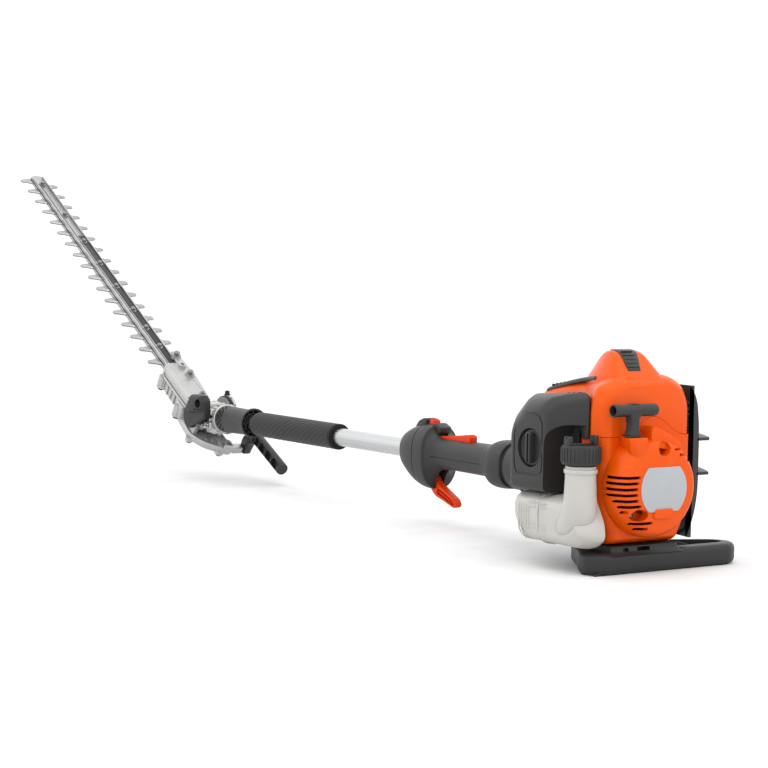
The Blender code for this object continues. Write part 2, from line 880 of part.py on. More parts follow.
def fuel_tank(axis):
    low = TANK_BOTTOM
    high = TANK_TOP

    def rings(wall):
        made = []
        edges = (
            (TANK_INNER, 0.004, 0.000),
            (TANK_OUTER - 0.012, 0.004, 0.000),
            (TANK_OUTER - 0.003, 0.008, 0.006),
            (TANK_OUTER, 0.014, 0.012),
        )
        for y, side, end in edges:
            outline = rounded(
                TANK_FRONT - TANK_BACK - 2 * (wall + end),
                high - low - 2 * (wall + side - 0.004),
                0.012,
                ((TANK_FRONT + TANK_BACK) / 2, (high + low) / 2),
                3,
            )
            made.append([(x, y, z) for x, z in outline])
        if wall:
            made[0] = [(x, HOUSING_LEFT + GAP + wall, z) for x, y, z in made[0]]
        made[-1] = [(x, y - wall, z) for x, y, z in made[-1]]
        return made

    made = piece("fuel_tank", loft(rings(0)), "tank", axis)
    join(made, rod(FILLER_RADIUS, high - 0.030, FILLER_TOP, "z", 24, tuple(NECK_PLACE)))
    cut(
        made,
        box(
            (TANK_BACK - 0.01, 0, low - 0.01),
            (HOUSING_FRONT + GAP, HOUSING_LEFT + GAP, high + 0.01),
        ),
    )
    return cut(
        made,
        loft(rings(0.002)),
        rod(FILLER_RADIUS - 0.0025, high - 0.028, FILLER_TOP + 0.01, "z", 20, tuple(NECK_PLACE)),
    )


def fuel_cap(axis):
    x, y = NECK_PLACE
    low = FILLER_TOP + GAP
    high = low + CAP_HEIGHT - 0.0004
    mesh = turned(
        [
            (0, low),
            (CAP_RADIUS, low),
            (CAP_RADIUS, high - 0.002),
            (CAP_RADIUS - 0.002, high),
            (0, high),
        ],
        "z",
        24,
        (x, y),
    )
    made = piece("fuel_cap", mesh, "dark", axis, (x, y, low))
    for side in (-1, 1):
        lug = box(
            (x - 0.004, y + side * 0.0155 - 0.004, high - 0.002),
            (x + 0.004, y + side * 0.0155 + 0.004, high + 0.015),
        )
        join(made, lug)
    return made


# ---------------------------------------------------------------- foot


def engine_foot(axis):
    floor = -POLE_HEIGHT
    outline = [
        (0.086, FOOT_LEFT - 0.052),
        (0.078, FOOT_LEFT - 0.042),
        (0.030, FOOT_LEFT - 0.013),
        (FOOT_REAR + 0.014, FOOT_LEFT),
        (FOOT_REAR, FOOT_LEFT - 0.012),
        (FOOT_REAR, FOOT_RIGHT + 0.026),
        (FOOT_REAR + 0.008, FOOT_RIGHT + 0.012),
        (FOOT_REAR + 0.030, FOOT_RIGHT),
        (FOOT_REAR + 0.054, FOOT_RIGHT + 0.003),
        (0.086, FOOT_RIGHT + 0.064),
    ]
    made = piece("engine_foot", prism(outline[::-1], floor, floor + FOOT_THICKNESS), "dark", axis)
    pedestal = box(
        (FOOT_REAR + 0.004, -0.055, floor + 0.010),
        (0.080, TANK_INNER - 0.004, HOUSING_BOTTOM - GAP),
    )
    join(made, pedestal)
    loop = [
        (FOOT_REAR + 0.018, -0.068),
        (FOOT_REAR + 0.018, FOOT_RIGHT + 0.024),
        (FOOT_REAR + 0.026, FOOT_RIGHT + 0.015),
        (FOOT_REAR + 0.044, FOOT_RIGHT + 0.014),
        (0.066, -0.086),
        (0.066, -0.068),
    ]
    return cut(made, prism(loop, floor - 0.01, floor + FOOT_THICKNESS + 0.01))


# ---------------------------------------------------------------- pole and handles


def pole_tube(axis):
    mesh = pipe(TUBE_RADIUS, TUBE_RADIUS - TUBE_WALL, TUBE_BACK, neck_back() + 0.030, "x", 24)
    return piece("pole_tube", mesh, "tube", axis)


def neck_back():
    return SLEEVE_BACK + SLEEVE_LENGTH + GAP


def drive_shaft(axis):
    mesh = rod(SHAFT_RADIUS, 0.142, PIVOT_PLACE - PIN_GEAR_REACH - GAP, "x", 12)
    return piece("drive_shaft", mesh, "steel", axis)


def shaft_bush(axis, name, place):
    outer = TUBE_RADIUS - TUBE_WALL - GAP
    mesh = pipe(outer, SHAFT_RADIUS + GAP, place, place + BUSH_LENGTH, "x", 16)
    return piece(name, mesh, "brass", axis)


def front_grip(axis):
    mesh = pipe(GRIP_RADIUS, TUBE_RADIUS + GAP, GRIP_BACK, GRIP_BACK + GRIP_LENGTH, "x", 24)
    return piece("front_grip", mesh, "foam", axis)


def handle_body():
    """The rear handle before it is split: a collar, a round grip and a bulged guard."""
    stations = (
        (HANDLE_BACK, 0.0275, 0.0275, 0.0275),
        (0.236, 0.0295, 0.0295, 0.0295),
        (0.252, 0.0270, 0.0265, 0.0260),
        (0.264, 0.0210, 0.0215, 0.0205),
        (0.276, 0.0192, 0.0200, 0.0190),
        (0.362, 0.0195, 0.0210, 0.0190),
        (0.374, 0.0240, 0.0300, 0.0330),
        (0.382, 0.0275, 0.0380, 0.0470),
        (0.392, 0.0285, 0.0420, 0.0500),
        (0.412, 0.0285, 0.0415, 0.0480),
        (0.436, 0.0265, 0.0350, 0.0380),
        (0.452, 0.0215, 0.0260, 0.0250),
        (HANDLE_FRONT, 0.0160, 0.0170, 0.0165),
    )
    rings = []
    for x, side, up, down in stations:
        ring = []
        for a, b in circle(1, 20, start=math.pi / 20):
            ring.append((x, a * side, b * (up if b > 0 else down)))
        rings.append(ring)
    return loft(rings)


def rear_handle(axis, name, side):
    made = piece(name, handle_body(), "dark", axis)
    far = 0.06 * side
    near = GAP / 2 * side
    keep = box((HANDLE_BACK - 0.01, min(near, far), -0.06), (HANDLE_FRONT + 0.01, max(near, far), 0.06))
    helper(made, keep, "INTERSECT")
    bore = rod(TUBE_RADIUS + GAP, HANDLE_BACK - 0.02, HANDLE_FRONT + 0.02, "x", 24)
    trigger_slot = box((0.358, -0.0062, -0.060), (0.394, 0.0062, -0.0165))
    lockout_slot = box((0.300, -0.0066, 0.0140), (0.3695, 0.0066, 0.060))
    switch_slot = box((0.384, -0.0056, 0.0370), (0.404, 0.0056, 0.060))
    return cut(made, bore, trigger_slot, lockout_slot, switch_slot)


def throttle_trigger(axis):
    outline = [
        (0.389, -0.026),
        (0.378, -0.026),
        (0.371, -0.037),
        (0.350, -0.049),
        (0.333, -0.055),
        (0.331, -0.061),
        (0.338, -0.0635),
        (0.362, -0.055),
        (0.378, -0.050),
        (0.389, -0.040),
    ]
    mesh = prism(outline[::-1], -0.0052, 0.0052, "y")
    return piece("throttle_trigger", mesh, "orange", axis, (0.384, 0, -0.031))


def throttle_lockout(axis):
    outline = [(0.3665, 0.0225), (0.3665, 0.0262), (0.304, 0.0305), (0.3025, 0.0285), (0.3030, 0.0225)]
    mesh = prism(outline, -0.0058, 0.0058, "y")
    return piece("throttle_lockout", mesh, "orange", axis, (0.3665, 0, 0.0240))


def stop_switch(axis):
    mesh = prism(
        [(0.387, 0.0376), (0.397, 0.0376), (0.397, 0.0455), (0.394, 0.0475), (0.387, 0.0465)],
        -0.0048,
        0.0048,
        "y",
    )
    return piece("stop_switch", mesh, "orange", axis, (0.392, 0, 0.040))


# ---------------------------------------------------------------- tilt lock and neck


def lock_sleeve(axis):
    bore = TUBE_RADIUS + SLIDE_GAP
    front = SLEEVE_BACK + SLEEVE_LENGTH
    profile = [
        (0.0190, SLEEVE_BACK),
        (0.0215, SLEEVE_BACK),
        (0.0215, SLEEVE_BACK + 0.005),
        (0.0185, SLEEVE_BACK + 0.008),
        (0.0195, SLEEVE_BACK + 0.060),
        (0.0195, front),
        (bore, front),
        (bore, SLEEVE_BACK + 0.010),
        (0.0155, SLEEVE_BACK + 0.009),
        (0.0155, SLEEVE_BACK),
    ]
    made = piece("lock_sleeve", turned(profile, "x", 28), "dark", axis)
    arm = box((front - 0.016, -0.0395, -0.0035), (front - 0.004, -0.0150, 0.0035))
    return join(made, arm)


def lock_pin(axis):
    start = SLEEVE_BACK + SLEEVE_LENGTH - 0.004 + GAP
    end = PIVOT_PLACE - RING_RADIUS - 0.0008
    mesh = turned(
        [(0, start), (0.0022, start), (0.0022, end - 0.002), (0.0012, end), (0, end)],
        "x",
        10,
        (-0.036, 0),
    )
    return piece("lock_pin", mesh, "steel", axis)


def neck_housing(axis):
    back = neck_back()
    nose = PIVOT_PLACE - 0.0195
    wall = TUBE_RADIUS + 0.0065
    profile = [
        (0, back),
        (wall + 0.002, back),
        (wall + 0.002, back + 0.006),
        (wall, back + 0.008),
        (wall + 0.0005, nose - 0.008),
        (wall, nose),
        (0, nose),
    ]
    made = piece("neck_housing", turned(profile, "x", 24), "casting", axis)
    barrel = rod(BARREL_RADIUS, BARREL_RIGHT, BARREL_LEFT, "y", 28, (PIVOT_PLACE, 0))
    join(made, barrel)
    bore = rod(TUBE_RADIUS + GAP, back - 0.01, back + 0.030 + GAP, "x", 24)
    shaft_hole = rod(0.0068, back, PIVOT_PLACE, "x", 16)
    gear_room = rod(
        BARREL_RADIUS - BARREL_WALL,
        BARREL_RIGHT + 0.004,
        BARREL_LEFT - 0.0035,
        "y",
        28,
        (PIVOT_PLACE, 0),
    )
    axle_hole = rod(0.0044, BARREL_RIGHT - 0.01, BARREL_LEFT + 0.01, "y", 12, (PIVOT_PLACE, 0))
    reach = 0.04
    sweep = [(PIVOT_PLACE, 0.0)]
    for i in range(7):
        angle = math.radians(-55 + 165 * i / 6)
        sweep.append((PIVOT_PLACE + reach * math.cos(angle), reach * math.sin(angle)))
    window = prism(sweep, BARREL_RIGHT + 0.004, BARREL_LEFT - 0.0035, "y")
    return cut(made, bore, shaft_hole, gear_room, axle_hole, window)


def hinge_cover(axis):
    """Faceted cover over the left end of the hinge, fixed to the neck."""
    low = BARREL_LEFT + EAR_THICKNESS + 2 * SLIDE_GAP
    made = piece("hinge_cover", rod(0.025, low, low + 0.014, "y", 20, (PIVOT_PLACE, 0)), "dark", axis)
    outline = [
        (-0.058, -0.004),
        (-0.020, -0.019),
        (0.004, -0.020),
        (0.016, 0.020),
        (-0.004, 0.034),
        (-0.050, 0.034),
        (-0.060, 0.020),
    ]
    block = loft(
        [
            [(PIVOT_PLACE + a, low, b) for a, b in outline],
            [(PIVOT_PLACE + a * 0.72, low + 0.017, b * 0.78) for a, b in outline],
        ]
    )
    join(made, block)
    return made


def gear_profile(near, far, size):
    """Half of a bevel pinion on the tilt axis: from its small end to its large end."""
    return [(0, near), (size * near / far, near), (size, far), (0, far)]


def input_pinion(axis):
    large = PIVOT_PLACE - PIN_GEAR_REACH
    small = PIVOT_PLACE - 0.0105
    mesh = turned([(0, large), (0.0054, large), (0.0032, small), (0, small)], "x", 12)
    return piece("input_pinion", mesh, "steel", axis)


def intermediate_gear(pivot):
    profile = [
        (0, BARREL_RIGHT + 0.0005),
        (0.0040, BARREL_RIGHT + 0.0005),
        (0.0040, BARREL_RIGHT + 0.0045),
        (0.0170, BARREL_RIGHT + 0.0060),
        (0.0175, BARREL_RIGHT + 0.0120),
        (0.0165, BARREL_RIGHT + 0.0160),
        (0.0070, BARREL_RIGHT + 0.0160),
        (0.0070, BARREL_LEFT - 0.0042),
        (0.0040, BARREL_LEFT - 0.0042),
        (0.0040, BARREL_LEFT - 0.0005),
        (0, BARREL_LEFT - 0.0005),
    ]
    return piece("intermediate_gear", turned(profile, "y", 20), "steel", pivot)


# ---------------------------------------------------------------- cutting head


def output_pinion(head):
    wheel = CRANK_GEAR_PLACE
    profile = gear_profile(0.0105, PIN_GEAR_REACH, 0.0054)[:3]
    profile += [
        (0.0033, PIN_GEAR_REACH + 0.001),
        (0.0033, wheel - 0.020),
        (0.0054, wheel - 0.019),
        (0.0034, wheel - 0.012),
        (0, wheel - 0.012),
    ]
    return piece("output_pinion", turned(profile, "x", 12), "steel", head)


def crank_gear(head):
    low = CASE_BOTTOM + 0.0035
    profile = [
        (0, low),
        (0.0150, low),
        (0.0155, -0.0100),
        (0.0155, -0.0066),
        (0.0100, -0.0066),
        (0.0100, -0.0060),
        (0, -0.0060),
    ]
    made = piece(
        "crank_gear",
        turned(profile, "z", 20, (CRANK_GEAR_PLACE, 0)),
        "steel",
        head,
        (CRANK_GEAR_PLACE, 0, -0.010),
    )
    return join(made, rod(0.0055, -0.0070, -0.0031, "z", 16, (CRANK_GEAR_PLACE, 0.0035)))


def case_outline(margin=0.0):
    back = CASE_BACK + margin
    side = CASE_HALF_WIDTH - margin
    front = CASE_FRONT
    return [
        (back, -side),
        (front - 0.018, -side),
        (front, -side + 0.006),
        (front, side - 0.006),
        (front - 0.018, side),
        (back, side),
    ]


def gear_case_upper(head):
    made = piece("gear_case_upper", prism(case_outline(), GAP / 2, CASE_TOP), "casting", head)
    room = box((CASE_BACK + 0.004, -0.0140, -0.01), (CASE_FRONT + 0.01, 0.0140, CASE_TOP - 0.0035))
    shaft_hole = rod(0.0042, 0, CASE_BACK + 0.01, "x", 12)
    return cut(made, room, shaft_hole)


def gear_case_lower(head):
    """Lower case: the crank room, a tail under the neck and two ears on the tilt axis."""
    made = piece("gear_case_lower", prism(case_outline(), CASE_BOTTOM, -GAP / 2), "casting", head)
    tail_outline = [
        (CASE_BACK + 0.030, -CASE_HALF_WIDTH),
        (CASE_BACK + 0.030, CASE_HALF_WIDTH),
        (0.010, 0.031),
        (-0.018, 0.034),
        (-0.044, 0.014),
        (-0.064, -0.016),
        (-0.060, -0.030),
        (0.010, -0.030),
    ]
    tail = prism(tail_outline[::-1], TAIL_BOTTOM, TAIL_TOP)
    back_wall = box(
        (CASE_BACK, -CASE_HALF_WIDTH, TAIL_BOTTOM + 0.004),
        (CASE_BACK + 0.026, CASE_HALF_WIDTH, CASE_BOTTOM + 0.004),
    )
    join(made, tail, back_wall)
    left = BARREL_LEFT + SLIDE_GAP
    right = BARREL_RIGHT - SLIDE_GAP
    for near, far in ((left, left + EAR_THICKNESS), (right - EAR_THICKNESS, right)):
        join(made, rod(0.0185, near, far, "y", 20))
        join(made, box((-0.0150, near, TAIL_BOTTOM + 0.004), (0.0150, far, 0)))
        join(made, box((0, near, TAIL_BOTTOM + 0.004), (CASE_BACK + 0.004, far, -GAP / 2)))
        cut(made, rod(0.0045, near - 0.002, far + 0.002, "y", 12))
    room = box((CASE_BACK + 0.004, -0.0165, CASE_BOTTOM + 0.003), (CASE_FRONT - 0.022, 0.0165, 0.01))
    mouth = box((CASE_BACK + 0.030, -0.0140, -0.0034), (CASE_FRONT + 0.01, 0.0140, 0.01))
    shaft_hole = rod(0.0042, 0, CASE_BACK + 0.01, "x", 12)
    return cut(made, room, mouth, shaft_hole)


def tilt_lock_ring(head):
    """Notched ring on the right ear; the lock pin points at its rim."""
    right = BARREL_RIGHT - 2 * SLIDE_GAP - EAR_THICKNESS - GAP
    notch_depth = 0.005
    outline = []
    step = 2 * math.pi / RING_NOTCHES
    for i in range(RING_NOTCHES):
        for share, radius in (
            (-0.22, RING_RADIUS - notch_depth),
            (0.22, RING_RADIUS - notch_depth),
            (0.26, RING_RADIUS),
            (0.74, RING_RADIUS),
        ):
            angle = math.pi - BLADE_TILT + step * (i + share)
            outline.append((radius * math.cos(angle), radius * math.sin(angle)))
    made = piece("tilt_lock_ring", prism(outline, right - RING_WIDTH, right, "y"), "casting", head)
    return cut(made, rod(0.012, right - RING_WIDTH - 0.01, right - 0.004, "y", 16))


def adjusting_handle(head):
    """Handle for tilting the head, held beside the tail of the gear case."""
    side = ADJUST_HANDLE_SIDE
    root = Vector((-0.068, side, 0.008))
    tip = root + Vector((-ADJUST_HANDLE_LENGTH, 0, 0.004))
    made = piece("adjusting_handle", bar_between(root, tip, ADJUST_HANDLE_RADIUS, 16), "dark", head)
    plate = [
        (-0.046, -0.037),
        (-0.046, -0.012),
        (-0.056, 0.006),
        (-0.066, 0.016),
        (-0.080, 0.016),
        (-0.080, 0.000),
        (-0.068, -0.010),
        (-0.066, -0.037),
    ]
    join(made, prism(plate[::-1], side - 0.006, side + 0.006, "y"))
    join(made, box((-0.066, side + 0.004, -0.037), (-0.046, -0.0304, -0.031)))
    pocket_step = 0.020
    pocket_half_height = 0.0035
    for i in range(ADJUST_HANDLE_POCKETS):
        x = tip.x + 0.006 + pocket_step * i
        middle = tip.z - 0.004 * (x - tip.x) / ADJUST_HANDLE_LENGTH
        low = (x, side + 0.0015, middle - pocket_half_height)
        high = (x + 0.016, side + 0.02, middle + pocket_half_height)
        cut(made, box(low, high))
    return made


def blade_outline(lift):
    """Half of the teeth on each side, staggered by half a pitch; the tail lies in the gear case."""
    tail = CRANK_GEAR_PLACE
    left = [(tail, BLADE_HALF_WIDTH - lift)]
    for i in range(LEFT_TEETH):
        centre = FIRST_TOOTH + TOOTH_PITCH * i
        for along, across in (
            (-TOOTH_ROOT / 2, BLADE_HALF_WIDTH),
            (-TOOTH_TIP / 2 + 0.001, TOOTH_REACH - lift),
            (TOOTH_TIP / 2 - 0.001, TOOTH_REACH - lift),
            (TOOTH_ROOT / 2, BLADE_HALF_WIDTH),
        ):
            left.append((centre + along, across))
    right = []
    for i in range(RIGHT_TEETH):
        centre = FIRST_TOOTH + TOOTH_PITCH * (i + 0.5)
        for along, across in (
            (-TOOTH_ROOT / 2, BLADE_HALF_WIDTH),
            (-TOOTH_TIP / 2 + 0.001, TOOTH_REACH - lift),
            (TOOTH_TIP / 2 - 0.001, TOOTH_REACH - lift),
            (TOOTH_ROOT / 2, BLADE_HALF_WIDTH),
        ):
            right.append((centre + along, -across))
    end = [(BLADE_TIP - 0.001, BLADE_HALF_WIDTH - 0.004), (BLADE_TIP - 0.001, -BLADE_HALF_WIDTH + 0.004)]
    return left + end + right[::-1] + [(tail, -BLADE_HALF_WIDTH + lift)]


def bolt_places():
    return [TOOTH_PITCH / 2 * step for step in BOLT_STEPS]


def cutting_blade(head, name, low, lift):
    made = piece(name, prism(blade_outline(lift)[::-1], low, low + BLADE_THICKNESS), "steel", head)
    half = BLADE_STROKE + BOLT_RADIUS + 0.0012
    for x in bolt_places():
        slot = rounded(2 * half, 2 * BOLT_RADIUS + 0.0012, BOLT_RADIUS + 0.0005, (x, 0), 2)
        cut(made, prism(slot, low - 0.01, low + 0.01))
    return made


def guide_bar(head):
    low = BLADE_THICKNESS + 2 * GAP
    start = CASE_FRONT + GAP
    outline = [
        (start, -BAR_HALF_WIDTH),
        (BLADE_TIP - 0.004, -BAR_HALF_WIDTH),
        (BLADE_TIP, 0),
        (BLADE_TIP - 0.004, BAR_HALF_WIDTH),
        (start, BAR_HALF_WIDTH),
    ]
    made = piece("guide_bar", prism(outline, low, low + BAR_HEIGHT), "casting", head)
    channel = box(
        (start - 0.01, -BAR_HALF_WIDTH + 0.0025, low + BAR_FLOOR),
        (BLADE_TIP - 0.012, BAR_HALF_WIDTH - 0.0025, low + 0.02),
    )
    cut(made, channel)
    for x in bolt_places():
        cut(made, rod(BOLT_RADIUS + GAP, low - 0.01, low + 0.01, "z", 10, (x, 0)))
    return made


def blade_bolt(head, name, x):
    floor = BLADE_THICKNESS + 2 * GAP + BAR_FLOOR
    nut = -BLADE_THICKNESS - 2 * GAP
    profile = [
        (0, floor + 0.0045),
        (BOLT_HEAD_RADIUS, floor + 0.0045),
        (BOLT_HEAD_RADIUS, floor + GAP),
        (BOLT_RADIUS, floor + GAP),
        (BOLT_RADIUS, nut),
        (BOLT_HEAD_RADIUS, nut),
        (BOLT_HEAD_RADIUS, nut - 0.0035),
        (0, nut - 0.0035),
    ]
    return piece(name, turned(profile, "z", 8, (x, 0)), "steel", head)


# ---------------------------------------------------------------- assembly


def clear_scene():
    for thing in list(bpy.data.objects):
        bpy.data.objects.remove(thing)


def build():
    clear_scene()
    axis = frame_at("pole_axis", (0, 0, POLE_HEIGHT))
    for make in (
        starter_housing,
        top_cover,
        top_cover_inlay,
        top_strip,
        label_plate,
        recoil_pulley,
        starter_rope,
        starter_handle,
        crankcase,
        cylinder,
        piston,
        crankshaft,
        flywheel,
        clutch_shoes,
        clutch_drum,
        clutch_cover,
        vibration_ring,
        muffler,
        muffler_guard,
        carburettor,
        air_filter_element,
        air_filter_cover,
        filter_knob,
        fuel_tank,
        fuel_cap,
        engine_foot,
        pole_tube,
        drive_shaft,
        front_grip,
        throttle_trigger,
        throttle_lockout,
        stop_switch,
        lock_sleeve,
        lock_pin,
        neck_housing,
        hinge_cover,
        input_pinion,
    ):
        make(axis)
    shaft_bush(axis, "shaft_bush_rear", BUSH_PLACES[0])
    shaft_bush(axis, "shaft_bush_front", BUSH_PLACES[1])
    rear_handle(axis, "rear_handle_left", 1)
    rear_handle(axis, "rear_handle_right", -1)

    head = frame_at("tilt_axis", (PIVOT_PLACE, 0, 0), (0, -BLADE_TILT, 0), axis)
    for make in (
        intermediate_gear,
        output_pinion,
        crank_gear,
        gear_case_upper,
        gear_case_lower,
        tilt_lock_ring,
        adjusting_handle,
        guide_bar,
    ):
        make(head)
    cutting_blade(head, "upper_blade", GAP / 2, 0.0)
    cutting_blade(head, "lower_blade", -GAP / 2 - BLADE_THICKNESS, 0.0004)
    for number, x in enumerate(bolt_places(), 1):
        blade_bolt(head, f"blade_bolt_{number}", x)


build()
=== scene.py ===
import json
import math
import bmesh
import bpy
from mathutils import Matrix, Vector

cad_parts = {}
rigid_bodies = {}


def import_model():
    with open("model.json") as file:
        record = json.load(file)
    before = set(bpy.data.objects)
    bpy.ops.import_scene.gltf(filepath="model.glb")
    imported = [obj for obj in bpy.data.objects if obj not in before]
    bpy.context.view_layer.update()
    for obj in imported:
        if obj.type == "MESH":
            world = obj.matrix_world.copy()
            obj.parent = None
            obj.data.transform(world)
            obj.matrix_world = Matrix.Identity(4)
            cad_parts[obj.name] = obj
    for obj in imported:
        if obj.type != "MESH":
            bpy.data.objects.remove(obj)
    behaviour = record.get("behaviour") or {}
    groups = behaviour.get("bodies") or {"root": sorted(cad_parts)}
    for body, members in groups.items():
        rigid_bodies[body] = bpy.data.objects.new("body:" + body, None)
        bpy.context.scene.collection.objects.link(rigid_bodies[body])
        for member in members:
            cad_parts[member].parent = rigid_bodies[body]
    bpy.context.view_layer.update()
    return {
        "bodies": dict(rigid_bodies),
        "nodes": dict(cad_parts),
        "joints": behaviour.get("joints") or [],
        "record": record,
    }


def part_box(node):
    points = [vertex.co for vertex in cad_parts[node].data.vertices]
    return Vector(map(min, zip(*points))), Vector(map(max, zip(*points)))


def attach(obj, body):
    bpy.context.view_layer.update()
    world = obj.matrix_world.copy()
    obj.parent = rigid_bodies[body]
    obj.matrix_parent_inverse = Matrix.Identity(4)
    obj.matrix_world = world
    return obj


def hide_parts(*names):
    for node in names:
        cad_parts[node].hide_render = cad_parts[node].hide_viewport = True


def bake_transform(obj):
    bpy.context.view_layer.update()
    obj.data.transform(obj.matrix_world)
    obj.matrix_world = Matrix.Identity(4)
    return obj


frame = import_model()

# Shapes are drawn in millimetres, in the pole's own space or in the cutting head's own space.
millimetre = Matrix.Scale(0.001, 4)
poleSpace = Matrix.Translation((0, 0, 0.095)) @ millimetre
headSpace = Matrix.Translation((0.997, 0, 0.095)) @ Matrix.Rotation(math.radians(-30), 4, "Y") @ millimetre


# Camera, light and floor

cameraView = {
    "place": (-1.671, 1.425, 0.340),
    "right": (-0.547, -0.837, 0.016),
    "forward": (0.835, -0.547, -0.064),
    "lens": 93.75,
    "sensor": 36.0,
}


def placeCamera(view):
    forward = Vector(view["forward"]).normalized()
    right = Vector(view["right"])
    right = (right - forward * right.dot(forward)).normalized()
    up = right.cross(forward)
    turn = Matrix((right, up, -forward)).transposed().to_4x4()
    data = bpy.data.cameras.new("studioCamera")
    data.lens = view["lens"]
    data.sensor_width = view["sensor"]
    made = bpy.data.objects.new("studioCamera", data)
    made.matrix_world = Matrix.Translation(view["place"]) @ turn
    bpy.context.scene.collection.objects.link(made)
    bpy.context.scene.camera = made


studioLights = {
    "world": 1.5,
    "exposure": 0.0,
    "panels": (
        ("overheadPanel", (-0.3, 0.6, 2.2), (0.1, 0, 0.1), 1.9, 14),
        ("leftPanel", (-0.6, 2.3, 1.1), (0.2, 0, 0.15), 1.3, 4),
        ("rearPanel", (-2.2, -0.9, 1.2), (0, 0, 0.15), 1.2, 4),
        ("headPanel", (1.9, 1.2, 1.5), (1.4, 0, 0.3), 1.0, 3),
    ),
}


def placeLights(lights):
    world = bpy.data.worlds.new("studioWorld")
    world.use_nodes = True
    backdrop = world.node_tree.nodes["Background"]
    backdrop.inputs["Color"].default_value = (1, 1, 1, 1)
    backdrop.inputs["Strength"].default_value = lights["world"]
    bpy.context.scene.world = world
    for name, place, aim, size, power in lights["panels"]:
        data = bpy.data.lights.new(name, "AREA")
        data.size = size
        data.energy = power
        made = bpy.data.objects.new(name, data)
        made.location = place
        made.rotation_euler = (Vector(aim) - Vector(place)).to_track_quat("-Z", "Y").to_euler()
        bpy.context.scene.collection.objects.link(made)


placeCamera(cameraView)
placeLights(studioLights)
bpy.context.scene.view_settings.view_transform = "Standard"
bpy.context.scene.view_settings.exposure = studioLights["exposure"]
print("camera and lights placed")


# Shader maths

class Wire:
    def __init__(self, tree, socket):
        self.tree = tree
        self.socket = socket

    def maths(self, operation, other=0.0, swapped=False):
        made = self.tree.nodes.new("ShaderNodeMath")
        made.operation = operation
        pair = (other, self) if swapped else (self, other)
        for place, value in zip(made.inputs, pair):
            plug(self.tree, place, value)
        return Wire(self.tree, made.outputs[0])

    def __add__(self, other):
        return self.maths("ADD", other)

    def __sub__(self, other):
        return self.maths("SUBTRACT", other)

    def __rsub__(self, other):
        return self.maths("SUBTRACT", other, swapped=True)

    def __mul__(self, other):
        return self.maths("MULTIPLY", other)

    __radd__ = __add__
    __rmul__ = __mul__

    def above(self, level):
        return self.maths("GREATER_THAN", level)

    def between(self, low, high):
        stretched = (self - low) * (1 / (high - low))
        stretched.socket.node.use_clamp = True
        return stretched


def plug(tree, place, value):
    if isinstance(value, Wire):
        tree.links.new(value.socket, place)
    else:
        place.default_value = value


class Finish:
    def __init__(self, name, **fixed):
        self.material = bpy.data.materials.new(name)
        self.material.use_nodes = True
        self.tree = self.material.node_tree
        self.shader = self.tree.nodes["Principled BSDF"]
        for key, value in fixed.items():
            self.shader.inputs[key.replace("_", " ")].default_value = value

    def node(self, kind, settings=None, values=None, output=0):
        made = self.tree.nodes.new(kind)
        for key, value in (settings or {}).items():
            setattr(made, key, value)
        for key, value in (values or {}).items():
            plug(self.tree, made.inputs[key], value)
        return Wire(self.tree, made.outputs[output])

    def place(self, stretch=(1, 1, 1)):
        coordinates = self.node("ShaderNodeTexCoord", output="Object")
        if stretch == (1, 1, 1):
            return coordinates
        return self.node("ShaderNodeVectorMath", {"operation": "MULTIPLY"}, {0: coordinates, 1: stretch})

    def noise(self, scale, detail=2.0, stretch=(1, 1, 1)):
        values = {"Vector": self.place(stretch), "Scale": scale, "Detail": detail}
        return self.node("ShaderNodeTexNoise", None, values)

    def cells(self, scale, stretch=(1, 1, 1), feature="F1"):
        values = {"Vector": self.place(stretch), "Scale": scale}
        return self.node("ShaderNodeTexVoronoi", {"feature": feature}, values)

    def mixed(self, factor, first, second):
        made = self.tree.nodes.new("ShaderNodeMix")
        made.data_type = "RGBA"
        plug(self.tree, made.inputs[0], factor)
        plug(self.tree, made.inputs[6], first)
        plug(self.tree, made.inputs[7], second)
        return Wire(self.tree, made.outputs[2])

    def feed(self, socket, value):
        plug(self.tree, self.shader.inputs[socket], value)

    def bump(self, height, distance, strength=1.0):
        made = self.node("ShaderNodeBump", None, {"Height": height, "Distance": distance, "Strength": strength})
        self.feed("Normal", made)


def shade(colour, amount):
    return (*(min(1.0, channel * amount) for channel in colour), 1.0)


def mouldedPlastic(name, colour, roughness, grain=0.5, specular=0.5):
    made = Finish(name, Specular_IOR_Level=specular)
    fine = made.noise(1900, 3)
    broad = made.noise(22, 3)
    scuffs = made.noise(260, 4, (1, 0.25, 1)).between(0.62, 0.75)
    tone = made.mixed(broad, shade(colour, 0.90), shade(colour, 1.08))
    made.feed("Base Color", made.mixed(scuffs * 0.12, tone, shade(colour, 1.5)))
    made.feed("Roughness", fine * 0.10 + broad * 0.08 + scuffs * 0.06 + (roughness - 0.09))
    made.bump(fine + made.cells(1400) * 0.6, 0.00006, grain)
    return made.material


def glossPlastic(name, colour, roughness):
    made = Finish(name, Coat_Roughness=0.16, Coat_IOR=1.45, Specular_IOR_Level=0.12)
    broad = made.noise(14, 3)
    flow = made.noise(60, 2, (1, 1, 0.3))
    specks = made.noise(1500, 2).between(0.66, 0.74)
    tone = made.mixed(broad, shade(colour, 0.95), shade(colour, 1.04))
    made.feed("Base Color", made.mixed(specks * 0.15, tone, shade(colour, 0.8)))
    made.feed("Roughness", broad * 0.10 + flow * 0.06 + specks * 0.08 + (roughness - 0.08))
    made.feed("Coat Weight", 0.16 - broad * 0.08)
    made.bump(flow * 0.6 + made.noise(900, 2) * 0.15, 0.00010, 0.35)
    return made.material


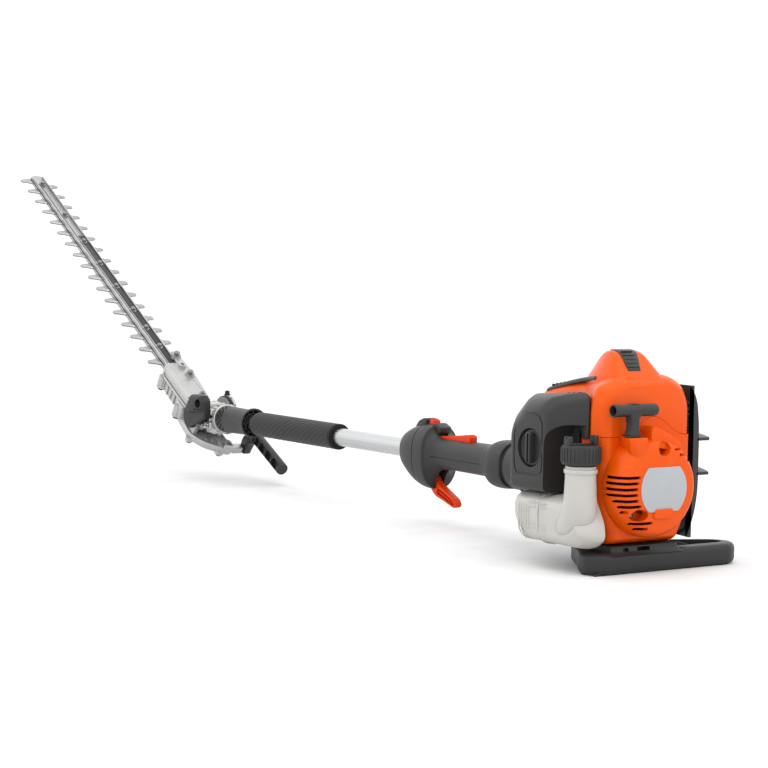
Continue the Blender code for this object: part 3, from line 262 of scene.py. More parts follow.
def castAlloy(name, colour, roughness):
    made = Finish(name)
    grains = made.noise(1100, 4)
    pits = made.cells(420).between(0.05, 0.35)
    broad = made.noise(30, 3)
    tone = made.mixed(broad, shade(colour, 0.86), shade(colour, 1.08))
    made.feed("Base Color", made.mixed(pits, shade(colour, 0.7), tone))
    made.feed("Metallic", 0.92 - broad * 0.12)
    made.feed("Roughness", grains * 0.16 + broad * 0.12 + (roughness - 0.12))
    made.bump(grains * 0.7 + pits * 0.5, 0.00012, 0.5)
    return made.material


def drawnAlloy(name, colour, roughness, stretch):
    made = Finish(name)
    lines = made.noise(700, 3, stretch)
    broad = made.noise(12, 2)
    wear = made.noise(90, 5, stretch).between(0.60, 0.78)
    made.feed("Base Color", made.mixed(lines, shade(colour, 0.84), shade(colour, 1.06)))
    made.feed("Metallic", 1.0 - wear * 0.12)
    made.feed("Roughness", lines * 0.16 + broad * 0.06 + wear * 0.12 + (roughness - 0.10))
    made.bump(lines, 0.00003, 0.5)
    return made.material


def closedFoam(name, colour):
    made = Finish(name, Specular_IOR_Level=0.25, Sheen_Weight=0.12)
    pores = made.cells(1300)
    broad = made.noise(35, 3)
    tone = made.mixed(broad, shade(colour, 0.75), shade(colour, 1.3))
    made.feed("Base Color", made.mixed(pores.between(0.1, 0.7), shade(colour, 1.25), tone))
    made.feed("Roughness", 0.94 - pores * 0.12)
    made.bump(pores, 0.0003, 0.6)
    return made.material


def milkyPlastic(name, colour):
    made = Finish(name, Subsurface_Weight=0.35, Subsurface_Scale=0.006)
    made.shader.inputs["Subsurface Radius"].default_value = (1.0, 0.9, 0.75)
    broad = made.noise(16, 3)
    cloud = made.noise(55, 4)
    fine = made.noise(1200, 2)
    made.feed("Base Color", made.mixed(cloud, shade(colour, 0.93), shade(colour, 1.04)))
    made.feed("Roughness", broad * 0.12 + fine * 0.08 + 0.27)
    made.bump(fine * 0.4 + cloud, 0.00014, 0.4)
    return made.material


finishes = {
    "orange": glossPlastic("orangeCasing", (0.66, 0.074, 0.0004), 0.36),
    "orangeDeep": glossPlastic("orangeTrigger", (0.60, 0.036, 0.0004), 0.38),
    "dark": mouldedPlastic("darkPlastic", (0.019, 0.0192, 0.0195), 0.46, 0.5, 0.36),
    "darkFoot": mouldedPlastic("footPlastic", (0.015, 0.0152, 0.0155), 0.48, 0.8, 0.34),
    "black": mouldedPlastic("blackPlastic", (0.010, 0.010, 0.0105), 0.50, 0.5, 0.34),
    "rubber": mouldedPlastic("blackRubber", (0.009, 0.009, 0.009), 0.72, 0.9, 0.2),
    "foam": closedFoam("gripFoam", (0.013, 0.013, 0.0135)),
    "tank": milkyPlastic("milkyTank", (0.44, 0.43, 0.40)),
    "casting": castAlloy("castAlloy", (0.46, 0.46, 0.455), 0.40),
    "dullCasting": castAlloy("dullAlloy", (0.30, 0.30, 0.295), 0.48),
    "tube": drawnAlloy("satinTube", (0.50, 0.505, 0.51), 0.28, (0.02, 1, 1)),
    "steel": drawnAlloy("groundSteel", (0.37, 0.365, 0.355), 0.26, (1, 0.05, 1)),
    "channel": drawnAlloy("barAlloy", (0.44, 0.445, 0.45), 0.34, (0.05, 1, 0.05)),
    "bolt": drawnAlloy("boltSteel", (0.30, 0.30, 0.30), 0.32, (1, 1, 0.3)),
    "bronze": drawnAlloy("bushBronze", (0.55, 0.36, 0.14), 0.36, (0.1, 1, 1)),
    "plate": mouldedPlastic("greyPlate", (0.36, 0.375, 0.39), 0.36, 0.2, 0.25),
    # shadow: near-black finish for the pieces that stand in for shade inside slots (painted shade)
    "shadow": mouldedPlastic("paintedShadeDark", (0.006, 0.006, 0.006), 0.85, 0.6, 0.1),
}
print("finishes made")


# Shapes

def across(axis, along, first, second):
    return {"x": (along, first, second), "y": (first, along, second), "z": (first, second, along)}[axis]


def facingOut(made):
    bmesh.ops.remove_doubles(made, verts=made.verts, dist=0.0005)
    bmesh.ops.recalc_face_normals(made, faces=made.faces)
    if made.calc_volume(signed=True) < 0:
        bmesh.ops.reverse_faces(made, faces=made.faces)
    return made


def loft(rings, looped=False):
    made = bmesh.new()
    rows = [[made.verts.new(point) for point in ring] for ring in rings]
    if looped:
        rows.append(rows[0])
    count = len(rings[0])
    for near, far in zip(rows, rows[1:]):
        for i in range(count):
            j = (i + 1) % count
            made.faces.new((near[i], near[j], far[j], far[i]))
    if not looped:
        made.faces.new(rows[0][::-1])
        made.faces.new(rows[-1])
    return facingOut(made)


def lathe(profile, axis="x", steps=72, centre=(0, 0)):

    rows = []
    made = bmesh.new()
    for i in range(steps):
        turn = 2 * math.pi * i / steps
        row = []
        for radius, along in profile:
            first = centre[0] + radius * math.cos(turn)
            second = centre[1] + radius * math.sin(turn)
            row.append(made.verts.new(across(axis, along, first, second)))
        rows.append(row)
    pipe = profile[0][0] > 0 and profile[-1][0] > 0
    for near, far in zip(rows, rows[1:] + rows[:1]):
        last = len(profile) if pipe else len(profile) - 1
        for i in range(last):
            j = (i + 1) % len(profile)
            corners = [near[i], near[j], far[j], far[i]]
            made.faces.new(corners)
    bmesh.ops.remove_doubles(made, verts=made.verts, dist=0.0005)
    bmesh.ops.dissolve_degenerate(made, edges=made.edges, dist=0.0004)
    return facingOut(made)


def prism(outline, low, high, axis="x"):
    return loft([[across(axis, place, *point) for point in outline] for place in (low, high)])


def block(low, high):
    outline = [(low[0], low[1]), (high[0], low[1]), (high[0], high[1]), (low[0], high[1])]
    return prism(outline, low[2], high[2], "z")


def circle(radius, steps=32, centre=(0, 0), squash=1.0):
    turns = [2 * math.pi * i / steps for i in range(steps)]
    return [(centre[0] + radius * math.cos(a), centre[1] + radius * squash * math.sin(a)) for a in turns]


def eased(outline, radius, steps=5):
    made = []
    for i, corner in enumerate(outline):
        corner = Vector(corner)
        before = Vector(outline[i - 1]) - corner
        after = Vector(outline[(i + 1) % len(outline)]) - corner
        size = min(
            radius[i] if isinstance(radius, (list, tuple)) else radius, before.length * 0.48, after.length * 0.48,
        )
        start = corner + before.normalized() * size
        end = corner + after.normalized() * size
        for k in range(steps + 1):
            t = k / steps
            made.append(tuple(start * (1 - t) ** 2 + corner * 2 * t * (1 - t) + end * t ** 2))
    return made


def flowing(rings, steps=4):
    made = []
    last = len(rings) - 1
    for i in range(last):
        four = [rings[max(i - 1, 0)], rings[i], rings[i + 1], rings[min(i + 2, last)]]
        for k in range(steps):
            t = k / steps
            weights = (
                (-t ** 3 + 2 * t ** 2 - t) / 2,
                (3 * t ** 3 - 5 * t ** 2 + 2) / 2,
                (-3 * t ** 3 + 4 * t ** 2 + t) / 2,
                (t ** 3 - t ** 2) / 2,
            )
            ring = []
            for points in zip(*four):
                ring.append(tuple(sum(w * p[n] for w, p in zip(weights, points)) for n in range(3)))
            made.append(ring)
    made.append(rings[-1])
    return made


def sweep(path, sizes, steps=24, squash=1.0):
    places = [Vector(point) for point in path]
    rings = []
    side = Vector((0, 1, 0))
    for i, place in enumerate(places):
        ahead = (places[min(i + 1, len(places) - 1)] - places[max(i - 1, 0)]).normalized()
        side = (side - ahead * side.dot(ahead)).normalized()
        other = ahead.cross(side)
        size = sizes[i] if isinstance(sizes, (list, tuple)) else sizes
        ring = []
        for k in range(steps):
            turn = 2 * math.pi * k / steps
            ring.append(tuple(place + side * size * math.cos(turn) + other * size * squash * math.sin(turn)))
        rings.append(ring)
    return loft(rings)


def softened(made, width, segments=2, angle=32):
    edges = [e for e in made.edges if len(e.link_faces) == 2 and e.calc_face_angle(0) > math.radians(angle)]
    if edges:
        bmesh.ops.bevel(
            made, geom=edges, offset=width, segments=segments, profile=0.5, affect="EDGES", clamp_overlap=True,
        )
    return made


def asObject(name, made):
    data = bpy.data.meshes.new(name)
    made.to_mesh(data)
    made.free()
    thing = bpy.data.objects.new(name, data)
    bpy.context.scene.collection.objects.link(thing)
    return thing


def baked(thing):
    bpy.context.view_layer.update()
    evaluated = thing.evaluated_get(bpy.context.evaluated_depsgraph_get())
    data = bpy.data.meshes.new_from_object(evaluated)
    made = bmesh.new()
    made.from_mesh(data)
    bpy.data.meshes.remove(data)
    return made


def discard(*things):
    for thing in things:
        data = thing.data
        bpy.data.objects.remove(thing)
        bpy.data.meshes.remove(data)


def combined(base, operation, tools):
    owner = asObject("owner", base)
    helpers = [asObject("helper", tool) for tool in tools]
    for tool in helpers:
        change = owner.modifiers.new("change", "BOOLEAN")
        change.operation = operation
        change.solver = "EXACT"
        change.object = tool
    made = baked(owner)
    discard(owner, *helpers)
    return made


def carved(base, *tools):
    return combined(base, "DIFFERENCE", tools)


def fused(base, *tools):
    return combined(base, "UNION", tools)


def together(*shapes):
    made = bmesh.new()
    for shape in shapes:
        data = bpy.data.meshes.new("part")
        shape.to_mesh(data)
        shape.free()
        made.from_mesh(data)
        bpy.data.meshes.remove(data)
    return made


def copyTree():
    tree = bpy.data.node_groups.new("copiesInRowOrRing", "GeometryNodeTree")
    sockets = {}
    tree.interface.new_socket(name="Geometry", in_out="INPUT", socket_type="NodeSocketGeometry")
    wanted = (
        ("Shape", "NodeSocketObject"),
        ("Count", "NodeSocketInt"),
        ("Start", "NodeSocketVector"),
        ("Step", "NodeSocketVector"),
        ("Turn", "NodeSocketVector"),
        ("Finish", "NodeSocketMaterial"),
    )
    for name, kind in wanted:
        sockets[name] = tree.interface.new_socket(name=name, in_out="INPUT", socket_type=kind).identifier
    tree.interface.new_socket(name="Geometry", in_out="OUTPUT", socket_type="NodeSocketGeometry")
    entry = tree.nodes.new("NodeGroupInput")
    leave = tree.nodes.new("NodeGroupOutput")
    line = tree.nodes.new("GeometryNodeMeshLine")
    index = tree.nodes.new("GeometryNodeInputIndex")
    turn = tree.nodes.new("ShaderNodeVectorMath")
    turn.operation = "SCALE"
    rotation = tree.nodes.new("FunctionNodeEulerToRotation")
    shape = tree.nodes.new("GeometryNodeObjectInfo")
    spread = tree.nodes.new("GeometryNodeInstanceOnPoints")
    real = tree.nodes.new("GeometryNodeRealizeInstances")
    painted = tree.nodes.new("GeometryNodeSetMaterial")
    for source, place in (
        (entry.outputs["Count"], line.inputs["Count"]),
        (entry.outputs["Start"], line.inputs["Start Location"]),
        (entry.outputs["Step"], line.inputs["Offset"]),
        (entry.outputs["Shape"], shape.inputs["Object"]),
        (entry.outputs["Turn"], turn.inputs[0]),
        (index.outputs[0], turn.inputs["Scale"]),
        (turn.outputs[0], rotation.inputs[0]),
        (rotation.outputs[0], spread.inputs["Rotation"]),
        (line.outputs["Mesh"], spread.inputs["Points"]),
        (shape.outputs["Geometry"], spread.inputs["Instance"]),
        (spread.outputs[0], real.inputs[0]),
        (real.outputs[0], painted.inputs["Geometry"]),
        (entry.outputs["Finish"], painted.inputs["Material"]),
        (painted.outputs[0], leave.inputs[0]),
    ):
        tree.links.new(source, place)
    return tree, sockets


copies, copySockets = copyTree()


def repeated(shape, count, start=(0, 0, 0), step=(0, 0, 0), turn=(0, 0, 0), finish="dark"):
    sample = asObject("sample", shape)
    carrier = asObject("carrier", bmesh.new())
    change = carrier.modifiers.new("copies", "NODES")
    change.node_group = copies
    change[copySockets["Shape"]] = sample
    change[copySockets["Count"]] = count
    change[copySockets["Start"]] = start
    change[copySockets["Step"]] = step
    change[copySockets["Turn"]] = turn
    change[copySockets["Finish"]] = finishes[finish]
    made = baked(carrier)
    discard(carrier, sample)
    return made


def piece(name, shape, finish, body, replaced=(), space=poleSpace, smooth=32):
    shape.transform(space)
    for face in shape.faces:
        face.material_index = 0
    thing = asObject(name, shape)
    thing.data.materials.clear()
    thing.data.materials.append(finishes[finish])
    thing.data.shade_smooth()
    thing.data.set_sharp_from_angle(angle=math.radians(smooth))
    if body:
        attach(thing, body)
    if replaced:
        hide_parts(*replaced)
    return thing


def starHead(radius, height, at, axis, socket=0.5):

    head = softened(lathe([(0, 0), (radius, 0), (radius, height), (0, height)], "z", 32), radius * 0.12, 2)
    points = []
    for i in range(24):
        turn = 2 * math.pi * i / 24
        reach = radius * socket * (1 + 0.16 * math.cos(6 * turn))
        points.append((reach * math.cos(turn), reach * math.sin(turn)))
    head = carved(head, prism(points, height * 0.35, height + 1, "z"))
    head.transform(Matrix.Translation(at) @ Vector((0, 0, 1)).rotation_difference(Vector(axis)).to_matrix().to_4x4())
    return head


print("tools ready")


# Engine casings

casing = {
    "left": 58, "right": -72, "bottom": -64.5, "back": -14, "front": 22,
    "seam": 54, "seamRise": 21, "seamGap": 0.5,
}


def seamLine(lift):
    points = []
    for i in range(33):
        y = 80 - 160 * i / 32
        reach = (y + 12) / 46
        rise = casing["seamRise"] * 0.5 * (1 + math.cos(math.pi * reach)) if abs(reach) < 1 else 0
        points.append((y, casing["seam"] + rise + lift))
    return points


def rearOutline(inset, top):
    left, right, bottom = casing["left"] - inset, casing["right"] + inset, casing["bottom"] + inset * 0.7
    corners = [
        (left, top), (left, 4), (left - 2, -32), (left - 13, -52), (left - 15, bottom),
        (right + 17, bottom), (right + 12, -54), (right + 3, -34), (right, 0), (right, top),
    ]
    return eased(corners, [0.5, 20, 14, 9, 9, 9, 12, 14, 20, 0.5])


def startHousing():
    stations = ((-14, 10), (-13.2, 8.6), (-9, 4.2), (-4, 1.4), (1, 0.2), (21.5, 0))
    rings = [[(x, y, z) for y, z in rearOutline(inset, 80)] for x, inset in stations]
    shell = loft(rings)
    above = [(90, 150), (-90, 150)] + seamLine(-casing["seamGap"] / 2)[::-1]
    shell = carved(shell, prism(above, -60, 60))
    inner = [[(x, y, z) for y, z in rearOutline(4.5, 80)] for x in (-2, 40)]
    return carved(shell, loft(inner))


def hoodRing(x, left, right, top, shoulder, foot, bulge=0.0):
    width = left - right
    corners = [
        (foot, 20), (foot, shoulder - 26), (left, shoulder - 12), (left - 5, shoulder),
        (left - width * 0.24, top), (right + width * 0.21, top + bulge),
        (right + 9, shoulder + 1), (right, shoulder - 17), (right, 20),
    ]
    return [(x, y, z) for y, z in eased(corners, [0.5, 6, 9, 9, 22, 22, 12, 12, 0.5])]


def topCover():
    sections = (
        (-14, 45, -58, 108, 101, 46), (-11, 50, -63.5, 112, 104, 51), (-6, 54.5, -68, 115.5, 106, 55.4),
        (0, 57, -71, 118, 107.5, 57.6), (8, 56, -72, 119.5, 107.5, 58), (24, 46, -69.5, 119.6, 106.5, 43),
        (50, 30, -64.5, 117.6, 106, 41), (75, 18.5, -60, 115.5, 104, 40), (110, 16, -54, 109, 100, 36),
        (140, 12.5, -45, 102, 95.5, 31.5), (157.5, 10, -41, 96.5, 90.5, 30),
    )
    rings = flowing([hoodRing(*section) for section in sections], 3)
    hood = loft(rings)
    peakStations = (
        (-13, 30, -41, 22, -31, 108), (-8, 30, -41, 19, -29, 115), (6, 30.5, -41, 17, -27, 129.2),
        (18, 31, -41, 16, -25.5, 140.6), (27, 30, -40.5, 14.5, -25, 144.6), (36, 28, -40, 12.5, -24, 145.2),
        (50, 23, -38, 7.5, -22, 142.5), (66, 15, -35, 2, -20, 132), (84, 8, -32, -4, -18, 116),
    )
    peakRings = []
    for x, left, right, topLeft, topRight, top in peakStations:
        corners = [
            (left, 92), (left - 1, min(top - 8, 116)), (topLeft, top), (topRight, top),
            (right + 1, min(top - 8, 116)), (right, 92),
        ]
        peakRings.append([(x, y, z) for y, z in eased(corners, [0.5, 7, 6, 6, 7, 0.5])])
    peak = loft(flowing(peakRings, 3))
    low = [(90, -20), (-90, -20)] + seamLine(casing["seamGap"] / 2)[::-1]
    both = fused(hood, peak)
    inner = loft([[(p[0], p[1] * 0.94 - 0.4, p[2] - 4) for p in hoodRing(x, *rest)] for x, *rest in sections[3:10]])
    return carved(both, prism(low, -60, 200), inner)


def domeShape():
    profile = [
        (0, -42.8), (44.5, -42.8), (47, -42.2), (49, -41), (51.0, -37.8), (53.6, -33.4), (55.2, -29), (55.8, -24),
        (56, -18), (56, -13), (53, -13), (53, -22), (50, -29), (46.8, -34), (44, -38), (40, -39), (0, -39),
    ]
    return lathe(profile, "x", 128, (0, 0))


def slotBar(y0, y1, z, height=3.3):
    outline = eased(
        [(y0, z - height / 2), (y1, z - height / 2), (y1, z + height / 2), (y0, z + height / 2)], height * 0.48, 3,
    )
    return prism(outline, -60, -16)


# Middle of each screw well in the dome, as (y, z)
roundWell, ovalWell = (-4.5, 42.5), (28.5, -28.5)


def starterDome():
    dome = domeShape()
    leftSlots = [
        slotBar(28, 57, 12.5), slotBar(30, 57.5, 6.3), slotBar(31, 57, 0), slotBar(31, 56, -6.3),
        slotBar(30, 54, -12.6), slotBar(26, 51, -18.8), slotBar(42, 48, -24.6), slotBar(10, 38, -37.4), slotBar(16, 31, -43.4),
    ]
    rightSlots = [
        slotBar(-30, -16, 47.5, 3), slotBar(-37, -19, 41.2, 3), slotBar(-43, -26, 34.9, 3),
        slotBar(-48.5, -37, 28.6, 3), slotBar(-52, -44, 22.3, 2.8),
    ]
    for k in range(12):
        turn = math.radians(16 - 5.2 * k)
        rightSlots.append(
            slotBar(-53.5 * math.cos(turn) - 2.2, -53.5 * math.cos(turn) + 2.2, 53.5 * math.sin(turn), 2.3)
        )
    holes = [
        prism(circle(8.2, 28, roundWell), -60, -30),
        prism(circle(12.0, 32, ovalWell, 0.55), -60, -28),
    ]
    return carved(dome, *leftSlots, *rightSlots, *holes)


def ropeBoss():
    rings = []
    for z, half, depth in ((55.0, 11, 0), (50, 10.4, 0), (42, 8.4, 1.0), (34, 5.0, 2.6), (27, 1.4, 4.5)):
        x = -45.2 + depth
        rings.append([
            (x, 30.5 - half * 0.82, z), (x, 30.5 + half * 0.5, z), (x + 7, 30.5 + half, z),
            (-13, 30.5 + half * 0.35, z), (-13, 30.5 - half, z), (x + 3, 30.5 - half, z),
        ])
    boss = softened(loft(rings), 1.2, 3, 25)
    return carved(boss, lathe([(0, 47), (3, 47), (3, 57), (0, 57)], "z", 24, (-30, 30.5)))


def wingRib():
    outline = eased(
        [(10, 44), (9.6, 63), (7, 66.6), (2, 65.4), (-8, 60.8), (-19, 55.6), (-30, 49), (-36, 42), (-20, 40)],
        [1, 3, 3, 5, 8, 8, 8, 3, 3], 5,
    )
    return softened(prism(outline, -37.6, -12, "x"), 2.2, 4, 40)


def nameTab():
    outline = eased([(9, -33), (-13, -33.5), (-17, -28.5), (-16.4, -22.5), (7.4, -22.5), (9.5, -28)], 2, 4)
    return softened(prism(outline, -45.3, -40), 0.8, 3)


housing = together(startHousing(), starterDome(), ropeBoss(), wingRib(), nameTab())
piece("starterCasing", housing, "orange", "machine", ["starter_housing"])
deepHole = lathe([(8.6, -39), (8.6, -28), (0, -28), (0, -29.5), (7.6, -29.5), (7.6, -39)], "x", 32, (0, 0))
deepHole.transform(Matrix.Translation((0, *roundWell)))
ovalHole = lathe([(12.4, -38), (12.4, -26), (0, -26), (0, -27.5), (11.4, -27.5), (11.4, -38)], "x", 32, (0, 0))
ovalHole.transform(Matrix.Translation((0, *ovalWell)) @ Matrix.Scale(0.56, 4, (0, 0, 1)))
piece("screwWells", together(deepHole, ovalHole), "orange", "machine")
# Near-black disc behind the starter slots: painted shade that makes the slots read dark, with holes around the screw
# wells
starterShadeDiscHoles = [prism(circle(8.9, 28, roundWell), -60, -20), prism(circle(12.7, 32, ovalWell, 0.57), -60, -20)]
starterShadeDisc = carved(
    lathe(
        [(0, -37.4), (39, -37.4), (42.5, -36.4), (45.3, -33), (48.8, -28), (52, -21.8), (52.2, -13.6), (0, -13.6)],
        "x", 64,
    ),
    *starterShadeDiscHoles,
)
piece("coolingScreen", starterShadeDisc, "shadow", "machine")
roundScrew = starHead(3.8, 3.0, (-29.4, *roundWell), (-1, 0, 0))
ovalScrew = starHead(3.8, 3.0, (-27.4, *ovalWell), (-1, 0, 0))
piece("casingScrews", together(roundScrew, ovalScrew), "bolt", "machine")
piece("topCasing", topCover(), "orange", "machine", ["top_cover"])


def labelPlate():
    outline = []
    for y, z in circle(32, 96, (-4.4, -1)):
        outline.append((y, max(-25.6, min(22.6, z))))
    outline = [p for i, p in enumerate(outline) if p != outline[i - 1]]
    return softened(prism(outline, -44.0, -42.4), 0.5, 3)


piece("labelPlate", labelPlate(), "plate", "machine", ["label_plate"])


def peakInlay():
    rings = []
    for x, z, left, right in (
        (0.5, 125.6, 12.4, -5.0), (4, 129.4, 12.0, -6.6), (10, 135.4, 11.0, -10), (18, 142.4, 10, -14),
        (24, 145.2, 9.4, -16), (30, 146.0, 9.2, -17), (36, 146.2, 9, -17.6),
    ):
        rings.append([(x, left, z - 4), (x, left, z), (x, right, z), (x, right, z - 4)])
    slab = softened(loft(rings), 0.7, 3, 40)
    rib = softened(block((-0.7, -7.4, -0.6), (0.7, 8.6, 0.9)), 0.35)
    rib.transform(Matrix.Rotation(math.radians(-44), 4, "Y"))
    ribs = repeated(rib, 5, start=(2.9, 2.6, 128.4), step=(4.3, -0.9, 4.0))
    return together(slab, ribs)


piece("peakInlay", peakInlay(), "dark", "machine", ["top_cover_inlay"])


def edgeStrip():
    rings = []
    for x, y, z, lift in (
        (40, 32, 112.0, 4.4), (55, 26.4, 110.8, 4.2), (70, 20.6, 109.2, 3.8), (95, 17.8, 106.6, 2.2),
        (125, 14.8, 101.9, 0.6), (152, 11.6, 96.5, -0.8),
    ):
        rings.append(
            [(x, y - 16, z + lift + 1), (x, y - 8, z + lift + 1), (x, y - 5.4, z + lift - 0.8), (x, y - 5.2, z + lift - 4), (x, y - 16, z + lift - 4)]
        )
    strip = softened(loft(flowing(rings, 3)), 0.8, 2)
    rib = softened(block((-1.0, -4.4, -1.6), (1.0, 3.4, 0.9)), 0.4)
    ribs = repeated(rib, 10, start=(66, 11.2, 113.2), step=(8.4, -0.92, -1.42))
    return together(strip, ribs)


piece("topEdgeStrip", edgeStrip(), "dark", "machine", ["top_strip"])
print("engine casings done")


# Starter handle and rope

def pullHandle():
    bar = lathe([
        (0, -2), (5.0, -2), (6.2, -1), (6.8, 1.5), (6.9, 10), (6.6, 22), (6.6, 40), (6.7, 48), (7.1, 55), (7.1, 57),
        (6.7, 58), (5.4, 58), (5.0, 57), (4.8, 47), (0, 46),
    ], "y", 64, (-30, 84))
    flat = []
    for z, half, deep in (
        (56, 9.6, 7.2), (57.2, 9.6, 7.2), (58.2, 7.2, 6.0), (64, 5.6, 5.4), (74, 5.9, 5.6), (80, 8.5, 6.2),
        (84, 13, 6.6),
    ):
        flat.append(
            [(-30 + a, 30.5 + b, z) for a, b in eased([(deep, -half), (deep, half), (-deep, half), (-deep, -half)], 2.6, 4)]
        )
    stem = loft(flat)
    crest = softened(prism(eased([(17, 86), (25, 91.6), (36, 91.6), (44, 86)], 3, 4), -33.2, -26.8, "x"), 1.0, 3)
    return together(bar, stem, crest)


piece("pullHandle", pullHandle(), "dark", "pull_handle", ["starter_handle"])
ropeMesh = lathe([(0, 2), (1.3, 2)] + [(1.3, 2 + 4 * i) for i in range(1, 16)] + [(0, 64)], "z", 12, (-30, 30.5))
rope = piece("pullRope", ropeMesh, "rubber", None, ["starter_rope"])
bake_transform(rope)
print("starter handle done")


# Air filter cover and its knob

def coverRing(y, back, front, low, high, cheek):
    corners = [
        (back, low), (front, low), (front, high - cheek), (front - cheek * 0.8, high - cheek * 0.25),
        (back + cheek * 0.3, high), (back, high - 7),
    ]
    return [(x, y, z) for x, z in eased(corners, [5, 7, 9, 9, 7, 4])]


def filterCover():
    rings = [
        coverRing(95.0, 41.0, 97.0, -3.0, 79.0, 29), coverRing(94.6, 38.6, 99.6, -5.4, 82.0, 30),
        coverRing(93.2, 36.4, 102.4, -7.6, 86.0, 30), coverRing(90.0, 34.0, 105.0, -9.2, 90.5, 30),
        coverRing(84.0, 29.0, 110.0, -10.0, 95.4, 30), coverRing(72.0, 17.0, 120.0, -10.0, 99.4, 30),
        coverRing(61.0, 7.0, 128.5, -10.0, 101.4, 30), coverRing(58.7, 7.6, 129.5, -10.0, 101.6, 30),
    ]
    cover = loft(rings)
    tail = loft([coverRing(59.6, 24.5, 130, -10, 97, 30), coverRing(43, 25, 137, -10, 99.6, 30)])
    notch = prism(
        eased([(-40, -30), (41.5, -30), (41.5, 50), (30, 65.5), (-40, 65.5)], [1, 1, 12, 12, 1]), 46, 120, "y",
    )
    seat = lathe([(0, 89.2), (20.6, 89.2), (21.6, 96.5), (0, 96.5)], "y", 64, (66, 38))
    frame = eased([(43.5, 8), (92, 8), (95, 20), (95, 58), (84, 76), (52, 78), (43.5, 68)], 9, 5)
    middle = Vector((69, 42))
    rim = [tuple(middle + (Vector(p) - middle) * 0.93) for p in frame]
    panel = carved(prism(frame, 94.2, 110, "y"), prism(rim, 93.5, 112, "y"))
    slots = [block((20 + 9 * i, 60.4, 98.6), (25.6 + 9 * i, 63.4, 104)) for i in range(5)]
    spike = softened(prism([(7.4, 72), (7.4, 51), (15, 50), (24, 66), (24, 72)], 58.8, 62, "y"), 0.6)
    shape = carved(cover, notch, seat, panel, *slots)
    return together(shape, tail, spike)


piece("filterCover", filterCover(), "dark", "machine", ["air_filter_cover"])


# Foam filter behind the cover: crowned faces, a waist, and moulded grooves on both sides

filterFoam = {"middle": (71, 32), "half": (25, 28), "near": 60.2, "far": 77.8, "corner": 9}


def foamRing(y, inset):
    (x, z), (wide, tall) = filterFoam["middle"], filterFoam["half"]
    wide, tall = wide - inset, tall - inset
    corners = [(x - wide, z - tall), (x + wide, z - tall), (x + wide, z + tall), (x - wide, z + tall)]
    return [(px, y, pz) for px, pz in eased(corners, max(1, filterFoam["corner"] - inset), 8)]


def foamFilter():
    near, far = filterFoam["near"], filterFoam["far"]
    steps = [(0, 9), (0.5, 3), (1.4, 1.1), (3, 0.2), (6, 0.5), (8.8, 0.8)]
    rings = [foamRing(near + rise, inset) for rise, inset in steps]
    rings += [foamRing(far - rise, inset) for rise, inset in reversed(steps[:-1])]
    rows = []
    for y in (near - 0.2, far + 0.2):
        groove = softened(block((48, -1, -1), (94, 1, 1)), 0.5)
        rows.append(repeated(groove, 5, start=(0, y, 14), step=(0, 0, 9)))
    return carved(loft(rings), *rows)


filterPad = piece("foamFilter", foamFilter(), "foam", "machine", ["air_filter_element"])


def coverKnob():
    disc = lathe([
        (0, 89.5), (19.4, 89.5), (19.8, 90.2), (19.8, 91.8), (19.2, 92.6), (17.2, 92.8), (16.2, 91.4), (0, 91.0),
    ], "y", 72, (66, 38))
    grip = eased([(-4.2, -17.6), (4.2, -17.6), (4.2, 17.6), (-4.2, 17.6)], 3.2, 5)
    rings = []
    for y, size in ((90.4, 1.0), (97.0, 0.97), (98.3, 0.90), (98.9, 0.78)):
        rings.append([(66 + a * size, y, 38 + b * size) for a, b in grip])
    handle = loft(rings)
    hollow = prism(eased([(63.9, 22), (66.8, 22), (66.8, 54), (63.9, 54)], 1.2), 95.6, 101, "y")
    notch = softened(block((-0.9, 0, 18.6), (0.9, 2.2, 20.0)), 0.3)
    notches = repeated(notch, 24, turn=(0, math.radians(15), 0))
    notches.transform(Matrix.Translation((66, 89.8, 38)))
    return together(disc, carved(handle, hollow), notches)


piece("coverKnob", coverKnob(), "dark", "knob", ["filter_knob"])
print("filter cover done")


# Fuel tank and cap

tank = {"back": -23, "front": 104.5, "inner": 41.5, "outer": 91.6, "bottom": -67.4, "top": -11.8}


def tankRing(y, side, end, top=0.0):
    corners = [
        (tank["back"] + end, tank["bottom"] + side + 12), (tank["back"] + end + 16, tank["bottom"] + side),
        (tank["front"] - end - 22, tank["bottom"] + side), (tank["front"] - end, tank["bottom"] + side + 16),
        (tank["front"] - end, tank["top"] - side - top), (tank["back"] + end + 17, tank["top"] - side - top),
        (tank["back"] + end + 2, max(tank["top"] - side - top - 26, tank["bottom"] + side + 18)),
    ]
    return [(x, y, z) for x, z in eased(corners, [6, 9, 14, 14, 9, 9, 12], 6)]


